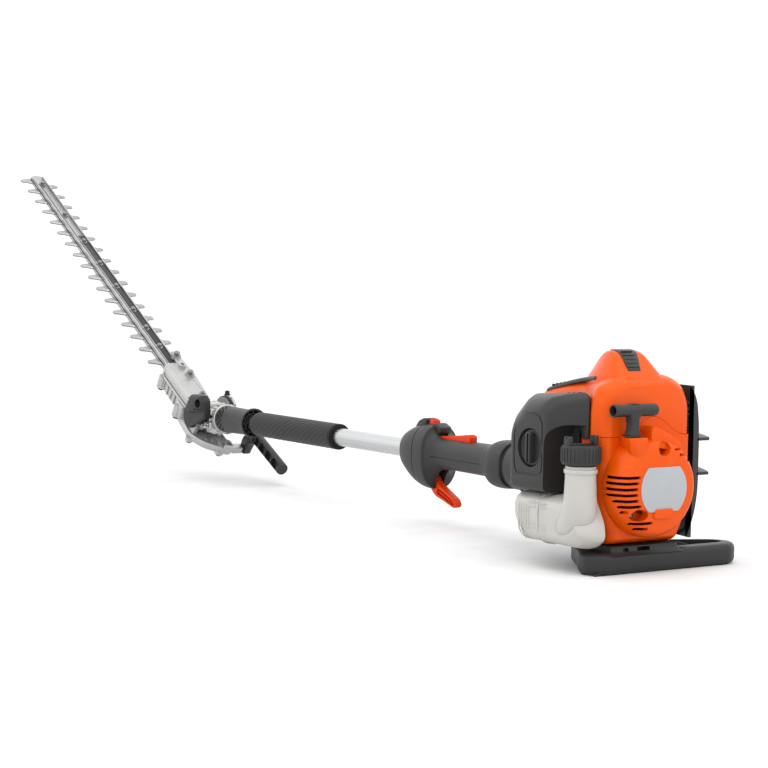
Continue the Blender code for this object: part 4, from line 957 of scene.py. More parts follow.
def fuelTank():
    steps = (
        (41.5, 2, 1), (60, 0.4, 0), (66.4, 0, 0), (74, 1.0, 0.6), (81, 2.6, 1.8), (86, 4.6, 3.6), (89.4, 7.6, 6.4),
        (91.2, 11, 9.8), (91.6, 14, 12.6),
    )
    body = loft([tankRing(*step) for step in steps])
    path = [
        (-6, 81, 24), (-6, 81, 8), (-5.6, 80.6, -6), (-4.2, 79.6, -18), (-0.6, 78, -29), (6, 76, -38),
        (15, 74, -44.5), (26, 72, -48.5), (38, 70, -50),
    ]
    sizes = [16.6, 16.9, 17.6, 18.6, 19.4, 19.6, 18.8, 16.8, 13]
    smooth = flowing([[p] for p in path], 3)
    widths = [w[0][0] for w in flowing([[(s, 0, 0)] for s in sizes], 3)]
    neck = sweep([p[0] for p in smooth], widths, 40)
    rearRoom = block((-60, 10, -90), (21.8, 58.6, 30))
    body = together(carved(body, rearRoom), neck)
    collar = lathe([(0, 16), (17.4, 16), (18.2, 17), (18.2, 20), (17.4, 21), (0, 21)], "z", 64, (-6, 81))
    ribs = []
    for x, width in ((54, 3.2), (70, 1.5), (74.5, 1.5), (79, 1.5), (83.5, 1.5), (88, 1.5)):
        path = [
            (x, 66, tank["top"] + 0.5), (x, 80, tank["top"] - 2.0), (x, 87.6, tank["top"] - 8),
            (x, 91.4, tank["top"] - 15), (x, 91.4, -40), (x, 91.4, tank["bottom"] + 17),
            (x, 87.6, tank["bottom"] + 9), (x, 80, tank["bottom"] + 2.4), (x, 66, tank["bottom"] - 0.2),
        ]
        if x > 60:
            path = path[1:8]
        points = [p[0] for p in flowing([[q] for q in path], 4)]
        ribs.append(sweep(points, width * 0.5, 10))
    marks = []
    for z in (-22, -26.5, -45, -49.5):
        for x in (45.5, 63.5):
            marks.append(softened(block((x - 6, 88, z - 0.7), (x + 6, 92.4, z + 0.7)), 0.5, 2))
    return together(body, collar, *ribs, *marks)


piece("fuelTank", fuelTank(), "tank", "machine", ["fuel_tank"], smooth=45)


def fuelCap():
    drum = lathe(
        [
            (0, 25.5), (19.5, 25.5), (21.0, 26.6), (21.2, 29), (21.2, 44), (20.2, 46.2), (18, 47.0), (15.5, 46.2),
            (0, 45.6),
        ],
        "z", 96, (-6, 81),
    )
    rib = softened(block((20.2, -1.1, 28.5), (22.0, 1.1, 44.6)), 0.6, 2)
    ribs = repeated(rib, 30, turn=(0, 0, math.radians(12)))
    ribs.transform(Matrix.Translation((-6, 81, 0)))
    lugs = []
    for side in (-1, 1):
        outline = eased(
            [
                (-4.8, 43), (4.8, 43), (4.4, 55), (3.2, 56.4), (1.8, 56.4), (1.4, 53.5), (-1.4, 53.5), (-1.8, 56.4),
                (-3.2, 56.4), (-4.4, 55),
            ],
            0.9, 3,
        )
        lug = softened(prism(outline, -2.6, 2.6, "y"), 0.5)
        lug.transform(Matrix.Translation((-6, 81 + side * 17.6, 0)))
        lugs.append(lug)
    web = softened(block((-7.4, 67, 45.0), (-4.6, 95, 48.5)), 0.6)
    return together(drum, ribs, *lugs, web)


piece("fuelCap", fuelCap(), "dark", "cap", ["fuel_cap"])
print("tank and cap done")


# Muffler guard with its perforations and fins

guard = {"back": -10, "front": 110, "inner": -74.5, "near": -83, "outer": -125, "wall": 2.6, "finReach": 15.5}


def guardReach(x):
    near = (x - guard["back"]) / (guard["front"] - guard["back"])
    return guard["near"] + (guard["outer"] - guard["near"]) * (1 - (1 - near) ** 2)


def guardRing(x, wall):
    inner = guard["inner"]
    depth = guardReach(x) + wall - inner
    mouth = inner + wall * 5
    corners = [
        (mouth, 107 - wall), (inner + 7 + depth * 0.3, 107 - wall), (inner + 1 + depth * 0.68, 91 - wall),
        (inner + depth * 0.92, 66), (inner + depth * 0.96, 52), (inner + depth, 46), (inner + depth, -8),
        (inner + 3 + depth * 0.86, -36), (inner + 11 + depth * 0.5, -62 + wall), (mouth, -62 + wall),
    ]
    return [(x, y, z) for y, z in eased(corners, [0.5, 6, 10, 12, 4, 4, 12, 14, 8, 0.5], 4)]


def muffGuard():
    length = guard["front"] - guard["back"]
    stations = [guard["back"] + length * k / 12 for k in range(13)]
    shell = softened(loft([guardRing(x, 0) for x in stations]), 1.6, 3, 50)
    inside = [x for x in stations if x > 4][:-1] + [guard["front"] - guard["wall"]]
    shell = carved(shell, loft([guardRing(x, guard["wall"]) for x in [1] + inside]))
    lid = guardRing(guard["back"], 0.1)
    shell = together(
        shell, prism([(max(y, -82.6), z) for _, y, z in lid], guard["back"] + 0.2, guard["back"] + 2.8, "x"),
    )
    cutters = []
    for low, rows in ((53, 6), (-38, 6)):
        row = repeated(block((-2.5, -40, -2.3), (2.5, 40, 2.3)), 14, start=(-1, -92, low), step=(7.8, 0, 0))
        cutters.append(repeated(row, rows, step=(0, 0, 6.8)))
    shell = carved(shell, *cutters)
    extras = []
    for z in (47, 8.5):
        outer = [(x, guardReach(x) - guard["finReach"]) for x in stations]
        outline = outer + [(x, guardReach(x) + 3) for x in reversed(stations)]
        extras.append(softened(prism(outline, z - 1.7, z + 1.7, "z"), 0.6, 2))
        for x in (8, 34, 60, 86):
            y = guardReach(x)
            extras.append(softened(prism([(y + 2, z - 8), (y + 2, z), (y - 12, z)], x, x + 2.4, "x"), 0.4))
    return together(shell, *extras)


piece("mufflerGuard", muffGuard(), "dark", "machine", ["muffler_guard"])
print("muffler guard done")


# Foot

def engineFoot():
    outline = eased([
        (86, 14), (78, 25), (40, 48), (6, 72), (-12, 74), (-22, 60), (-22, -126), (-13, -139), (8, -150), (34, -146), (86, -86),
    ], [8, 10, 16, 12, 10, 13, 16, 12, 14, 18, 12], 6)
    base = softened(prism(outline, -94.6, -71.0, "z"), 6.5, 5, 50)
    loopHole = eased([(-4, -68), (-4, -125), (5, -135), (23, -135.5), (65, -88), (65, -68)], [3, 8, 8, 9, 10, 3], 5)
    base = carved(base, prism(loopHole, -120, -40, "z"))
    for vertex in base.verts:
        if vertex.co.z > -84 and vertex.co.y < -55:
            vertex.co.z -= max(0, vertex.co.x + 8) * 0.06
    rib = softened(block((-0.8, -1.6, -94.9), (0.8, 1.6, -92)), 0.3)
    rearTread = repeated(rib, 62, start=(-17.4, -122, 0), step=(0, 3.1, 0))
    rib = softened(block((-1.6, -0.8, -94.9), (1.6, 0.8, -92)), 0.3)
    sideTread = repeated(rib, 22, start=(0, 70, 0), step=(2.7, -1.9, 0))
    pedestalRings = []
    for z, grow in ((-74, 5), (-71, 1.5), (-68.2, 0), (-64.9, 0)):
        corners = [(-18 - grow, -50 - grow), (80, -50 - grow), (80, 37), (-18 - grow, 46 + grow)]
        pedestalRings.append([(x, y, z) for x, y in eased(corners, 6, 4)])
    pedestal = carved(
        loft(pedestalRings), block((-30, -8, -70.5), (-8, 10, -66.2)), block((-30, 22, -70.5), (-14, 30, -66.4)),
    )
    brace = softened(prism([(-84, -72), (-52, -64.8), (-52, -72)], 4, 9, "x"), 1)
    braces = repeated(brace, 3, step=(24, 0, 0))
    return together(base, pedestal, braces, rearTread, sideTread)


piece("engineFoot", engineFoot(), "darkFoot", "machine", ["engine_foot"])
print("foot done")


# Clutch cover and rubber ring

def clutchCover():
    outside = [
        (52.6, 92), (52.6, 118), (51.6, 122.5), (48.5, 127), (43, 137), (38.5, 150), (34, 166), (31.2, 180),
        (30.6, 183), (29.4, 184), (28.6, 195), (28.4, 205.2),
    ]
    inside = [(13, 205.2), (13, 190), (24, 182), (34, 148), (49, 120), (49, 92)]
    body = lathe(outside + inside, "x", 96)
    roof = block((80, -90, 38), (160.5, 90, 90))
    left = block((80, 41.8, -90), (160.5, 90, 90))
    tankSide = block((80, 40.4, -90), (106, 70, -11))
    body = carved(body, roof, left, tankSide)
    rib = softened(block((128, -1.0, 36), (180, 1.0, 40)), 0.5)
    for vertex in rib.verts:
        vertex.co.z += (150 - vertex.co.x) * 0.19 if vertex.co.x < 150 else (150 - vertex.co.x) * 0.24
    ribs = repeated(rib, 9, turn=(math.radians(-22.5), 0, 0))
    ribs.transform(Matrix.Rotation(math.radians(-75), 4, "X"))
    ribs = carved(ribs, roofRoom(), leftRoom())
    return together(body, ribs)


def roofRoom():
    return block((80, -90, 37.5), (160.5, 90, 90))


def leftRoom():
    return block((80, 41.6, -90), (160.5, 90, 90))


piece("clutchCover", clutchCover(), "dark", "machine", ["clutch_cover"])
ringProfile = [
    (13, 205.9), (27.3, 205.9), (27.9, 207), (27.9, 208.6), (27, 209.6), (27.9, 210.6), (27.6, 212.2), (13, 212.2),
]
piece("vibrationRing", lathe(ringProfile, "x", 96), "rubber", "machine", ["vibration_ring"])
print("clutch cover done")


# Rear handle, trigger, lockout and stop switch

handleStations = (
    (
        212.9, 27.5, 27.5, 27.5,
    ), (216, 28.4, 28.2, 28.4), (228, 29.3, 28.8, 29.4), (237, 29.2, 28.0, 29.2), (243, 27.8, 26.2, 28.2),
    (
        248, 25.2, 24.0, 25.6,
    ), (253, 22.0, 21.9, 22.0), (260, 20.0, 20.6, 19.8), (272, 19.3, 20.1, 19.0), (300, 19.0, 19.8, 18.8),
    (330, 18.9, 19.8, 18.7), (350, 19.1, 20.2, 19.1), (360, 19.7, 21.2, 20.8), (
        366.5, 20.9, 23.6, 25.6,
    ), (371, 23.2, 27.8, 33.6),
    (373, 25.0, 31.0, 40.0), (
        374.2, 27.2, 34.0, 44.0,
    ), (375.6, 28.3, 35.4, 45.6), (384, 28.5, 35.8, 45.8), (392, 28.4, 35.6, 45.2),
    (
        401, 28.1, 34.6, 43.0,
    ), (410, 27.5, 32.6, 39.4), (418, 26.4, 30.0, 34.4), (426, 24.4, 26.8, 28.8), (432, 22.2, 23.8, 24.8),
    (435.4, 19.6, 20.8, 21.4), (436.4, 17.6, 18.6, 19.0),
)


def handleRing(x, side, up, down, scale=1.0):
    ring = []
    for i in range(72):
        turn = 2 * math.pi * (i + 0.5) / 72
        a, b = math.cos(turn), math.sin(turn)
        square = 1 / (abs(a) ** 2.35 + abs(b) ** 2.35) ** (1 / 2.35)
        ring.append((x, a * side * square * scale, b * (up if b > 0 else down) * square * scale))
    return ring


def handleShell():
    body = loft(flowing([handleRing(*station) for station in handleStations], 3))
    groove = []
    for x in (395.4, 396.6):
        groove.append(handleRing(x, 28.3, 36.2, 45.8, 1.15))
    inner = [handleRing(x, 28.2, 36.1, 45.6, 0.962) for x in (392, 400)]
    cutters = [
        carved(loft(groove), loft(inner), block((384, -60, -80), (410, 60, -32))),
        block((262, 18.0, -3.4), (366, 30, -2.6)),
        block((262, -30, -3.4), (366, -18.0, -2.6)),
        lathe([(12.4, 205), (12.4, 470), (0, 470), (0, 205)], "x", 64),
        prism(eased([(356, -62), (393.5, -62), (393.5, -17), (356, -17)], 2), -6.2, 6.2, "y"),
        prism(eased([(300, 14), (369.5, 14), (369.5, 60), (300, 60)], 1), -6.6, 6.6, "y"),
        block((378.4, -5.6, 29), (394.6, 5.6, 60)),
    ]
    return carved(body, *cutters)


def handleHump():
    front = softened(
        prism(eased([(394.8, 32), (394.8, 41.4), (398.6, 42.4), (410, 38.4), (418, 30)], 2.5, 4), -8, 8, "y"), 2.0, 3,
    )
    lip = softened(
        prism(
            eased([(378.2, 30), (378.2, 37.4), (372, 37.4), (361, 32.6), (363, 26.4), (368, 23)], 1.5, 4), -8.4, 8.4,
            "y",
        ),
        1.4, 3,
    )
    return together(front, lip)


for side, node in ((1, "rear_handle_left"), (-1, "rear_handle_right")):
    half = block((200, 0.12, -80), (480, 60, 80)) if side > 0 else block((200, -60, -80), (480, -0.12, 80))
    shell = combined(handleShell(), "INTERSECT", [half])
    if side < 0:
        shell = together(shell, handleHump())
    piece("handleShellLeft" if side > 0 else "handleShellRight", shell, "dark", "machine", [node])
handleScrews = []
for x, z in ((412, 18), (412, -22), (384, -30), (288, 0), (350, 0), (232, 0)):
    reach = {412: 24.6, 384: 25.4, 288: 18.4, 350: 18.4, 232: 28.6}[x]
    handleScrews.append(starHead(2.9, 1.6, (x, -reach, z), (0, -1, 0)))
piece("handleScrews", together(*handleScrews), "bolt", "machine")


def throttleTrigger():
    outline = eased([
        (389, -27), (379, -27), (374, -36.5), (353, -46.0), (335, -54.2), (330.6, -60.6), (335.4, -65.6), (362, -57.4), (377, -54), (389, -43),
    ], [2, 5, 5, 8, 5, 4, 5, 8, 6, 5], 5)
    body = softened(prism(outline, -5.1, 5.1, "y"), 1.2, 3)
    pocket = eased(
        [(371, -43.4), (353, -49.2), (337.4, -56.4), (334.2, -60.6), (337.2, -62.8), (361, -54.8), (373.5, -51.0)],
        [3, 5, 3, 2.4, 2.4, 5, 3], 4,
    )
    upper = eased([(386, -30), (380.6, -30), (376, -38.6), (379, -46), (386, -42)], 2, 4)
    sides = []
    for shape in (pocket, upper):
        sides += [prism(shape, 1.0, 9, "y"), prism(shape, -9, -1.0, "y")]
    body = carved(body, *sides)
    web = softened(prism([(372, -46.6), (338, -59.0), (337.6, -60.0), (372, -47.8)], -4.0, 4.0, "y"), 0.3)
    return together(body, web)


piece("throttleTrigger", throttleTrigger(), "orangeDeep", "trigger", ["throttle_trigger"])


def lockoutLever():
    outline = eased(
        [(366.4, 18.6), (366.4, 21.6), (345, 24.0), (310, 27.8), (304.6, 27.4), (302.8, 25.0), (303.2, 18.6)],
        [0.5, 1, 6, 4, 2, 2, 0.5], 4,
    )
    body = softened(prism(outline, -5.7, 5.7, "y"), 1.1, 3)
    rib = softened(block((306, -4.2, 26.4), (307, 4.2, 28.3)), 0.3)
    return together(body, repeated(rib, 4, step=(3.2, 0, -0.28)))


piece("lockoutLever", lockoutLever(), "orangeDeep", "lockout", ["throttle_lockout"])
switchBody = softened(
    prism(eased([(380.6, 30), (391.4, 30), (391.4, 40.0), (387.8, 42.0), (380.6, 40.2)], 1.2, 4), -4.8, 4.8, "y"),
    0.8, 3,
)
switchRibs = repeated(softened(block((382, -4.0, 39.8), (382.8, 4.0, 41.4)), 0.25), 3, step=(2.2, 0, 0.4))
piece("stopSwitch", together(switchBody, switchRibs), "orangeDeep", "stop_button", ["stop_switch"])
print("rear handle done")


# Pole tube and foam grip

tubeEnds = [corner[0] * 1000 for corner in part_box("pole_tube")]
tubeMesh = lathe(
    [
        (10.5, tubeEnds[0] + 0.4), (11.6, tubeEnds[0]), (12, tubeEnds[0] + 0.4), (12, tubeEnds[1] - 0.4),
        (11.6, tubeEnds[1]), (10.5, tubeEnds[1] - 0.4),
    ],
    "x", 128,
)
piece("poleTube", tubeMesh, "tube", "machine", ["pole_tube"])


def foamGrip():
    first, last, radius = 611.4, 829.6, 17.3
    rings = []
    count = 260
    for i in range(count + 1):
        x = first + (last - first) * i / count
        end = min(x - first, last - x)
        taper = 1 - 0.10 * max(0, 1 - end / 4) ** 2
        ring = []
        for k in range(126):
            turn = 2 * math.pi * k / 126
            wave = 0.17 * math.cos(14 * turn + 2 * math.pi * x / 13) * min(1, max(0, end - 8) / 4)
            reach = (radius + wave) * taper
            ring.append((x, reach * math.cos(turn), reach * math.sin(turn)))
        rings.append(ring)
    return together(loft(rings))


grip = piece("foamGrip", foamGrip(), "foam", "machine", ["front_grip"], smooth=60)
endRing = lathe([(12.4, 611.0), (16.6, 611.0), (17.5, 612), (17.5, 617), (16.9, 618), (12.4, 618)], "x", 96)
piece("gripEndRing", endRing, "rubber", "machine")
print("pole and grip done")


# Lock sleeve

def lockSleeve():
    body = lathe([
        (19.2, 845.2), (20.8, 845.0), (21.5, 845.8), (21.5, 849.2), (20.8, 850.4), (19.0, 852.5), (18.5, 855), (18.7, 870),
        (19.3, 903), (19.5, 908), (19.5, 926.5), (18.9, 928.8), (12.7, 928.8), (12.7, 862), (15.0, 858), (18.2, 851), (18.4, 846),
    ], "x", 112)
    hub = lathe([(13.0, 848.5), (14.2, 848.0), (14.8, 848.6), (14.8, 862), (13.0, 862)], "x", 96)
    slot = block((910.5, 16, -1.9), (914.0, 24, 1.9))
    rows = []
    for row in range(3):
        ring = repeated(slot.copy(), 18, turn=(math.radians(20), 0, 0))
        ring.transform(Matrix.Translation((5.0 * row, 0, 0)) @ Matrix.Rotation(math.radians(10 * row), 4, "X"))
        rows.append(ring)
    slot.free()
    body = carved(body, *rows)
    spoke = softened(block((848.4, 13.8, -0.6), (861, 18.8, 0.6)), 0.25)
    spokes = repeated(spoke, 12, turn=(math.radians(30), 0, 0))
    arm = softened(block((913, -39.4, -3.4), (925, -17.0, 3.4)), 0.9, 3)
    foot = softened(block((908, -24.5, -6), (928, -17.4, 6)), 1.2, 3)
    return together(body, hub, spokes, arm, foot)


piece("lockSleeve", lockSleeve(), "dark", "sleeve", ["lock_sleeve"])
# Near-black ring inside the sleeve under its slots: painted shade that makes the slots read dark
sleeveSlotShade = lathe([(0, 905), (18.2, 905), (18.2, 927), (0, 927)], "x", 64)
piece(
    "sleeveLining", carved(sleeveSlotShade, lathe([(12.6, 900), (12.6, 930), (0, 930), (0, 900)], "x", 48)), "shadow",
    "sleeve",
)
print("sleeve done")


# Neck casting and hinge

def neckCasting():
    tube = lathe([
        (12.3, 929.6), (19.6, 929.6), (20.5, 930.4), (20.5, 935), (19.9, 935.8), (18.4, 937), (17.6, 940), (17.6, 946), (18.9, 948),
        (18.9, 953), (17.8, 955), (18.0, 966), (19.6, 970), (19.8, 974), (19.0, 977), (12.3, 977),
    ], "x", 96)
    rib = softened(block((936, 15, -1.0), (954, 20.2, 1.0)), 0.4)
    ribs = repeated(rib, 14, turn=(math.radians(360 / 14), 0, 0))
    barrel = lathe([
        (0, -21.9), (19, -21.9), (21.0, -21), (22, -19.6), (22, -16.4), (20.6, -15.6), (20.6, -9.4), (22, -8.6), (22, 10.6), (21, 12.6), (19.5, 13), (0, 13),
    ], "y", 96, (997, 0))
    clamp = softened(block((938, 12, -15.5), (968, 22.6, -5.5)), 1.6, 3)
    lower = softened(block((938, 12, 5.0), (968, 21.4, 14.5)), 1.6, 3)
    side = softened(
        prism(eased([(940, -19), (976, -19), (982, -8), (982, 8), (976, 19), (940, 19)], 5, 4), -20.4, -8, "y"), 1.6,
        3,
    )
    top = softened(prism(eased([(960, -16), (990, -14), (990, 12), (960, 16)], 4, 4), 12, 21, "z"), 1.8, 3)
    low = softened(prism(eased([(942, -10), (972, -10), (976, 10), (942, 12)], 4, 4), -23.0, -14, "z"), 1.6, 3)
    return together(tube, ribs, barrel, clamp, lower, side, top, low)


piece("neckCasting", neckCasting(), "casting", "machine", ["neck_housing"])
neckBolts = [starHead(3.6, 3.2, (x, 22.4, -10.5), (0, 1, 0)) for x in (944, 962)]
neckBolts += [starHead(3.2, 2.6, (x, 21.2, 9.8), (0, 1, 0)) for x in (946, 961)]
neckBolts += [starHead(3.4, 3.0, (x, y, -22.8), (0, 0, -1)) for x, y in ((948, 0), (967, 0))]
piece("neckBolts", together(*neckBolts), "bolt", "machine")


def hingeCover():
    low = 21.2
    outline = [(-58, 2), (-46, -3), (-30, -11), (-9, -12.5), (-5, 0), (-5, 20), (-16, 34), (-49, 34), (-58, 26)]
    rings = []
    for lift, scale, rise in ((0, 1.0, 0), (9, 0.99, 0), (14, 0.86, 1), (16.8, 0.62, 2)):
        rings.append([(997 + (a + 30) * scale - 30, low + lift, (b - 11) * scale + 11 + rise) for a, b in outline])
    shell = softened(loft(rings), 1.3, 3, 16)
    hub = lathe([(0, low), (18, low), (18, low + 5), (16.6, low + 6.4), (0, low + 6.4)], "y", 72, (997, 0))
    recess = lathe([(0, low + 8), (6.2, low + 8), (6.6, low + 30), (0, low + 30)], "y", 40, (951.5, 22))
    facet = prism([(930, -30), (1010, -30), (1010, 4), (968, 10), (930, 12)], low + 11.0, low + 30, "y")
    ledge = block((936, low + 14.6, 12.6), (962, low + 30, 14.0))
    return together(carved(shell, recess, facet, ledge), hub)


piece("hingeCover", hingeCover(), "black", "machine", ["hinge_cover"])
coverScrew = starHead(4.4, 3.0, (951.5, 29.3, 22), (0, 1, 0))
piece("hingeCoverScrew", coverScrew, "bolt", "machine")
print("neck and hinge done")


# Cutting head

def wallSection(outline, low, high, radius, soft=1.2):
    return softened(prism(eased(outline, radius, 5), low, high, "z"), soft, 3)


casePlan = [(26, -20), (107, -20), (125, -14), (125, 14), (107, 20), (26, 20)]


def gearCaseTop():
    plate = wallSection(
        [(26, -19), (84, -23), (118, -22), (160, -19), (163, -12), (128, -6), (128, 11), (120, 19.5), (26, 20)], 3.4,
        11.6, [3, 10, 8, 4, 3, 3, 4, 6, 3],
    )
    body = wallSection(casePlan, 0.2, 11.2, 4, 1.6)
    ridge = wallSection([(30, 10), (118, 10), (121, 15), (112, 19.4), (30, 19.4)], 10, 14.2, [2, 4, 3, 4, 2], 1.5)
    bosses = [
        lathe([(0, 8), (8.2, 8), (7.6, 13.6), (0, 13.6)], "z", 48, (146, -13)),
        lathe([(0, 8), (8.6, 8), (8.0, 13.6), (0, 13.6)], "z", 48, (93, -13)),
        carved(
            lathe([(0, 8), (7.0, 8), (6.0, 16.2), (0, 16.2)], "z", 48, (117, -10)),
            lathe([(0, 10), (3.0, 10), (3.0, 18), (0, 18)], "z", 32, (117, -10)),
        ),
        lathe([(0, 8), (6.0, 8), (5.4, 12.8), (0, 12.8)], "z", 40, (40, -11)),
    ]
    plate = carved(plate, prism(eased([(50, -15), (80, -15), (80, 5), (50, 5)], 5, 5), 10.8, 20, "z"))
    return together(plate, body, ridge, *bosses)


piece("gearCaseTop", gearCaseTop(), "casting", "head", ["gear_case_upper"], headSpace)


def gearCaseLow():
    body = wallSection(casePlan, -22, -0.2, 4, 1.8)
    flange = wallSection([(24, -22), (110, -22), (127, -15), (127, 15), (110, 22.4), (24, 22.4)], -3.2, -0.4, 5, 0.7)
    foot = wallSection([(28, -18), (100, -18), (112, -10), (112, 10), (100, 18), (28, 18)], -24.2, -21, 6, 1.0)
    tail = wallSection(
        [(58, -20), (58, 19), (14, 23), (-12, 25), (-36, 12), (-54, -14), (-58, -22), (-54, -30), (10, -30)], -34.5,
        -23.2, [6, 6, 16, 10, 10, 8, 4, 6, 10], 1.6,
    )
    rim = eased([(54, -17), (54, 15), (12, 19), (-11, 21), (-33, 9), (-50, -14), (-52, -26), (8, -26)], 7, 5)
    tail = carved(tail, prism(rim, -60, -32.2, "z"))
    upright = [(54, 15.5), (14, 20.5), (-11, 22), (-17, 20), (-14, 14), (-9, 19), (12, 17), (54, 12)]
    tail = together(tail, softened(prism(upright, -27.0, -23.0, "z"), 1.0, 2))
    cheek = wallSection([(60, 17), (58, 20.5), (34, 27), (27, 27), (24, 17)], -24, -3.4, [2, 4, 5, 3, 2], 1.4)
    link = softened(block((-60, -44, -30.5), (-47, -27, -20)), 1.4, 3)
    back = softened(block((26, -20, -34), (52, 20, -18)), 1.6, 3)
    ears = []
    for near, far in ((13.6, 20.7), (-29.6, -22.6)):
        ears.append(softened(lathe([(0, near), (18.4, near), (18.4, far), (0, far)], "y", 64), 0.8, 2, 50))
        ears.append(softened(block((-15, near, -34), (15, far, 0)), 0.8, 2))
        ears.append(softened(block((0, near, -34), (30, far, -0.4)), 0.8, 2))
    fins = []
    for k in range(6):
        fins.append(softened(block((36 + 13 * k, 19.4, -20.5), (37.6 + 13 * k, 22.0, -3)), 0.4))
    slots = [softened(block((a, 19.6, -9.4), (a + 9, 20.9, -7.6)), 0.3) for a in (62, 88)]
    webs = []
    for k in range(5):
        web = softened(
            prism(
                [(-58 + 6 * k, -25.6), (-48 + 6 * k, -25.6), (-48 + 6 * k, -20), (-54 + 6 * k, -22)], -28 + 8 * k,
                -26.4 + 8 * k, "y",
            ),
            0.4,
        )
        webs.append(web)
    nest = wallSection([(-64, -30), (-42, -30), (-38, -22), (-56, -12)], -27, -17.5, 3, 1.0)
    nest = carved(nest, prism(eased([(-58, -27), (-46, -27), (-44, -22), (-54, -17)], 2), -24, -10, "z"))
    lugs = [
        lathe([(0, -23), (7.6, -23), (7.2, -4), (0, -4)], "z", 48, (114, 18)),
        lathe([(0, -26), (7.4, -26), (7.0, -8), (0, -8)], "z", 48, (40, 24)),
        lathe([(0, -38), (7.0, -38), (7.0, -31), (0, -31)], "z", 48, (-46, -13)),
        lathe([(0, -38), (6.4, -38), (6.4, -31), (0, -31)], "z", 48, (-10, 21)),
    ]
    return together(body, flange, foot, tail, cheek, link, back, nest, *ears, *fins, *slots, *webs, *lugs)


piece("gearCaseLow", gearCaseLow(), "casting", "head", ["gear_case_lower"], headSpace)


def hexBolt(radius, height, at, axis=(0, 0, 1), washer=1.45):
    head = softened(prism(circle(radius, 6), 1.2, height, "z"), radius * 0.10, 2)
    flange = softened(lathe([(0, 0), (radius * washer, 0), (radius * washer, 1.3), (0, 1.3)], "z", 40), 0.3, 2)
    crown = lathe(
        [(0, height - 0.2), (radius * 0.55, height - 0.2), (radius * 0.45, height + 0.9), (0, height + 0.9)], "z", 32,
    )
    made = together(head, flange, crown)
    made.transform(Matrix.Translation(at) @ Vector((0, 0, 1)).rotation_difference(Vector(axis)).to_matrix().to_4x4())
    return made


caseNuts = [
    hexBolt(4.6, 6.6, (146, -13, 13.4)), hexBolt(4.6, 6.6, (93, -13, 13.4)), hexBolt(3.4, 3.6, (40, -11, 12.6)),
]
piece("caseNuts", together(*caseNuts), "bolt", "head", (), headSpace)
underBolts = [starHead(4.6, 4.5, (114, 18, -22.8), (0, 0, -1)), starHead(4.6, 4.5, (40, 24, -25.8), (0, 0, -1)),
              starHead(4.2, 3.5, (-46, -13, -37.8), (0, 0, -1)), starHead(4.0, 3.2, (-10, 21, -37.8), (0, 0, -1))]
piece("underBolts", together(*underBolts), "black", "head", (), headSpace)


def lockRing():
    collar = lathe(
        [
            (12, -42.4), (26.6, -42.4), (29.4, -41.0), (30, -39.5), (30, -36.5), (27.4, -36.0), (27.4, -30.8),
            (12, -30.8),
        ],
        "y", 96,
    )
    notch = block((24.8, -44, -2.3), (33, -36.2, 2.3))
    notches = repeated(notch, 12, turn=(0, math.radians(30), 0))
    return carved(collar, notches)


piece("lockRing", lockRing(), "casting", "head", ["tilt_lock_ring"], headSpace)
band = lathe([(26.8, -36.0), (28.4, -35.6), (28.8, -34.8), (28.8, -31.8), (28.2, -31.0), (26.8, -31.0)], "y", 96)
hole = block((26, -34.6, -1.5), (32, -32.0, 1.5))
band = carved(band, repeated(hole, 26, turn=(0, math.radians(360 / 26), 0)))
piece("lockBand", band, "black", "head", (), headSpace)
pivotBolt = hexBolt(6.4, 5.2, (0, -37.8, 0), (0, -1, 0), 1.4)
piece("pivotBolt", pivotBolt, "bolt", "head", (), headSpace)
setBolt = hexBolt(3.8, 6.2, (15.2, -38.5, 25.6), (0.5, 0, 0.866), 1.35)
piece("setBolt", setBolt, "black", "head", (), headSpace)


def tiltHandle():
    side = -51.5
    path = [(-66, side, 7.9), (-74, side, 8.3), (-160.6, side, 11.9), (-162, side, 12.0)]
    bar = sweep(path, [8.2, 9.0, 9.0, 8.4], 48)
    pockets = []
    for k in range(4):
        x = -156.4 + 20.4 * k
        z = 11.7 - 0.042 * (x + 156.4)
        pockets.append(
            prism(eased([(x, z - 6.6), (x + 17.4, z - 6.6), (x + 17.4, z + 6.6), (x, z + 6.6)], 2.0, 4), side + 1.4, side + 20, "y")
        )
    bar = carved(bar, *pockets)
    plate = [(-46, -31), (-46, -10), (-55, 6), (-65, 16.2), (-80, 17.4), (-80, 0), (-67, -8), (-62, -31)]
    arm = softened(prism(eased(plate[::-1], [3, 6, 5, 5, 6, 8, 6, 3], 4), side - 5.8, side + 5.8, "y"), 1.4, 3)
    lug = softened(block((-60, side + 4, -30.4), (-48, -44.4, -21)), 1.0, 2)
    knuckle = lathe(
        [
            (0, side - 6.4), (8.4, side - 6.4), (9.4, side - 5.4), (9.4, side + 5.4), (8.4, side + 6.4),
            (0, side + 6.4),
        ],
        "y", 56, (-72, 8.2),
    )
    return together(bar, arm, lug, knuckle)


piece("tiltHandle", tiltHandle(), "dark", "head", ["adjusting_handle"], headSpace)
print("cutting head done")


# Guide bar and blades

bar = {
    "start": 125.6, "tip": 743, "half": 11, "low": 3.1, "floor": 6.0, "high": 9.0, "pitch": 36.4, "firstTooth": 149,
}
boltPlaces = [18.2 * step for step in (10, 13, 16, 20, 24, 28, 33, 39)]


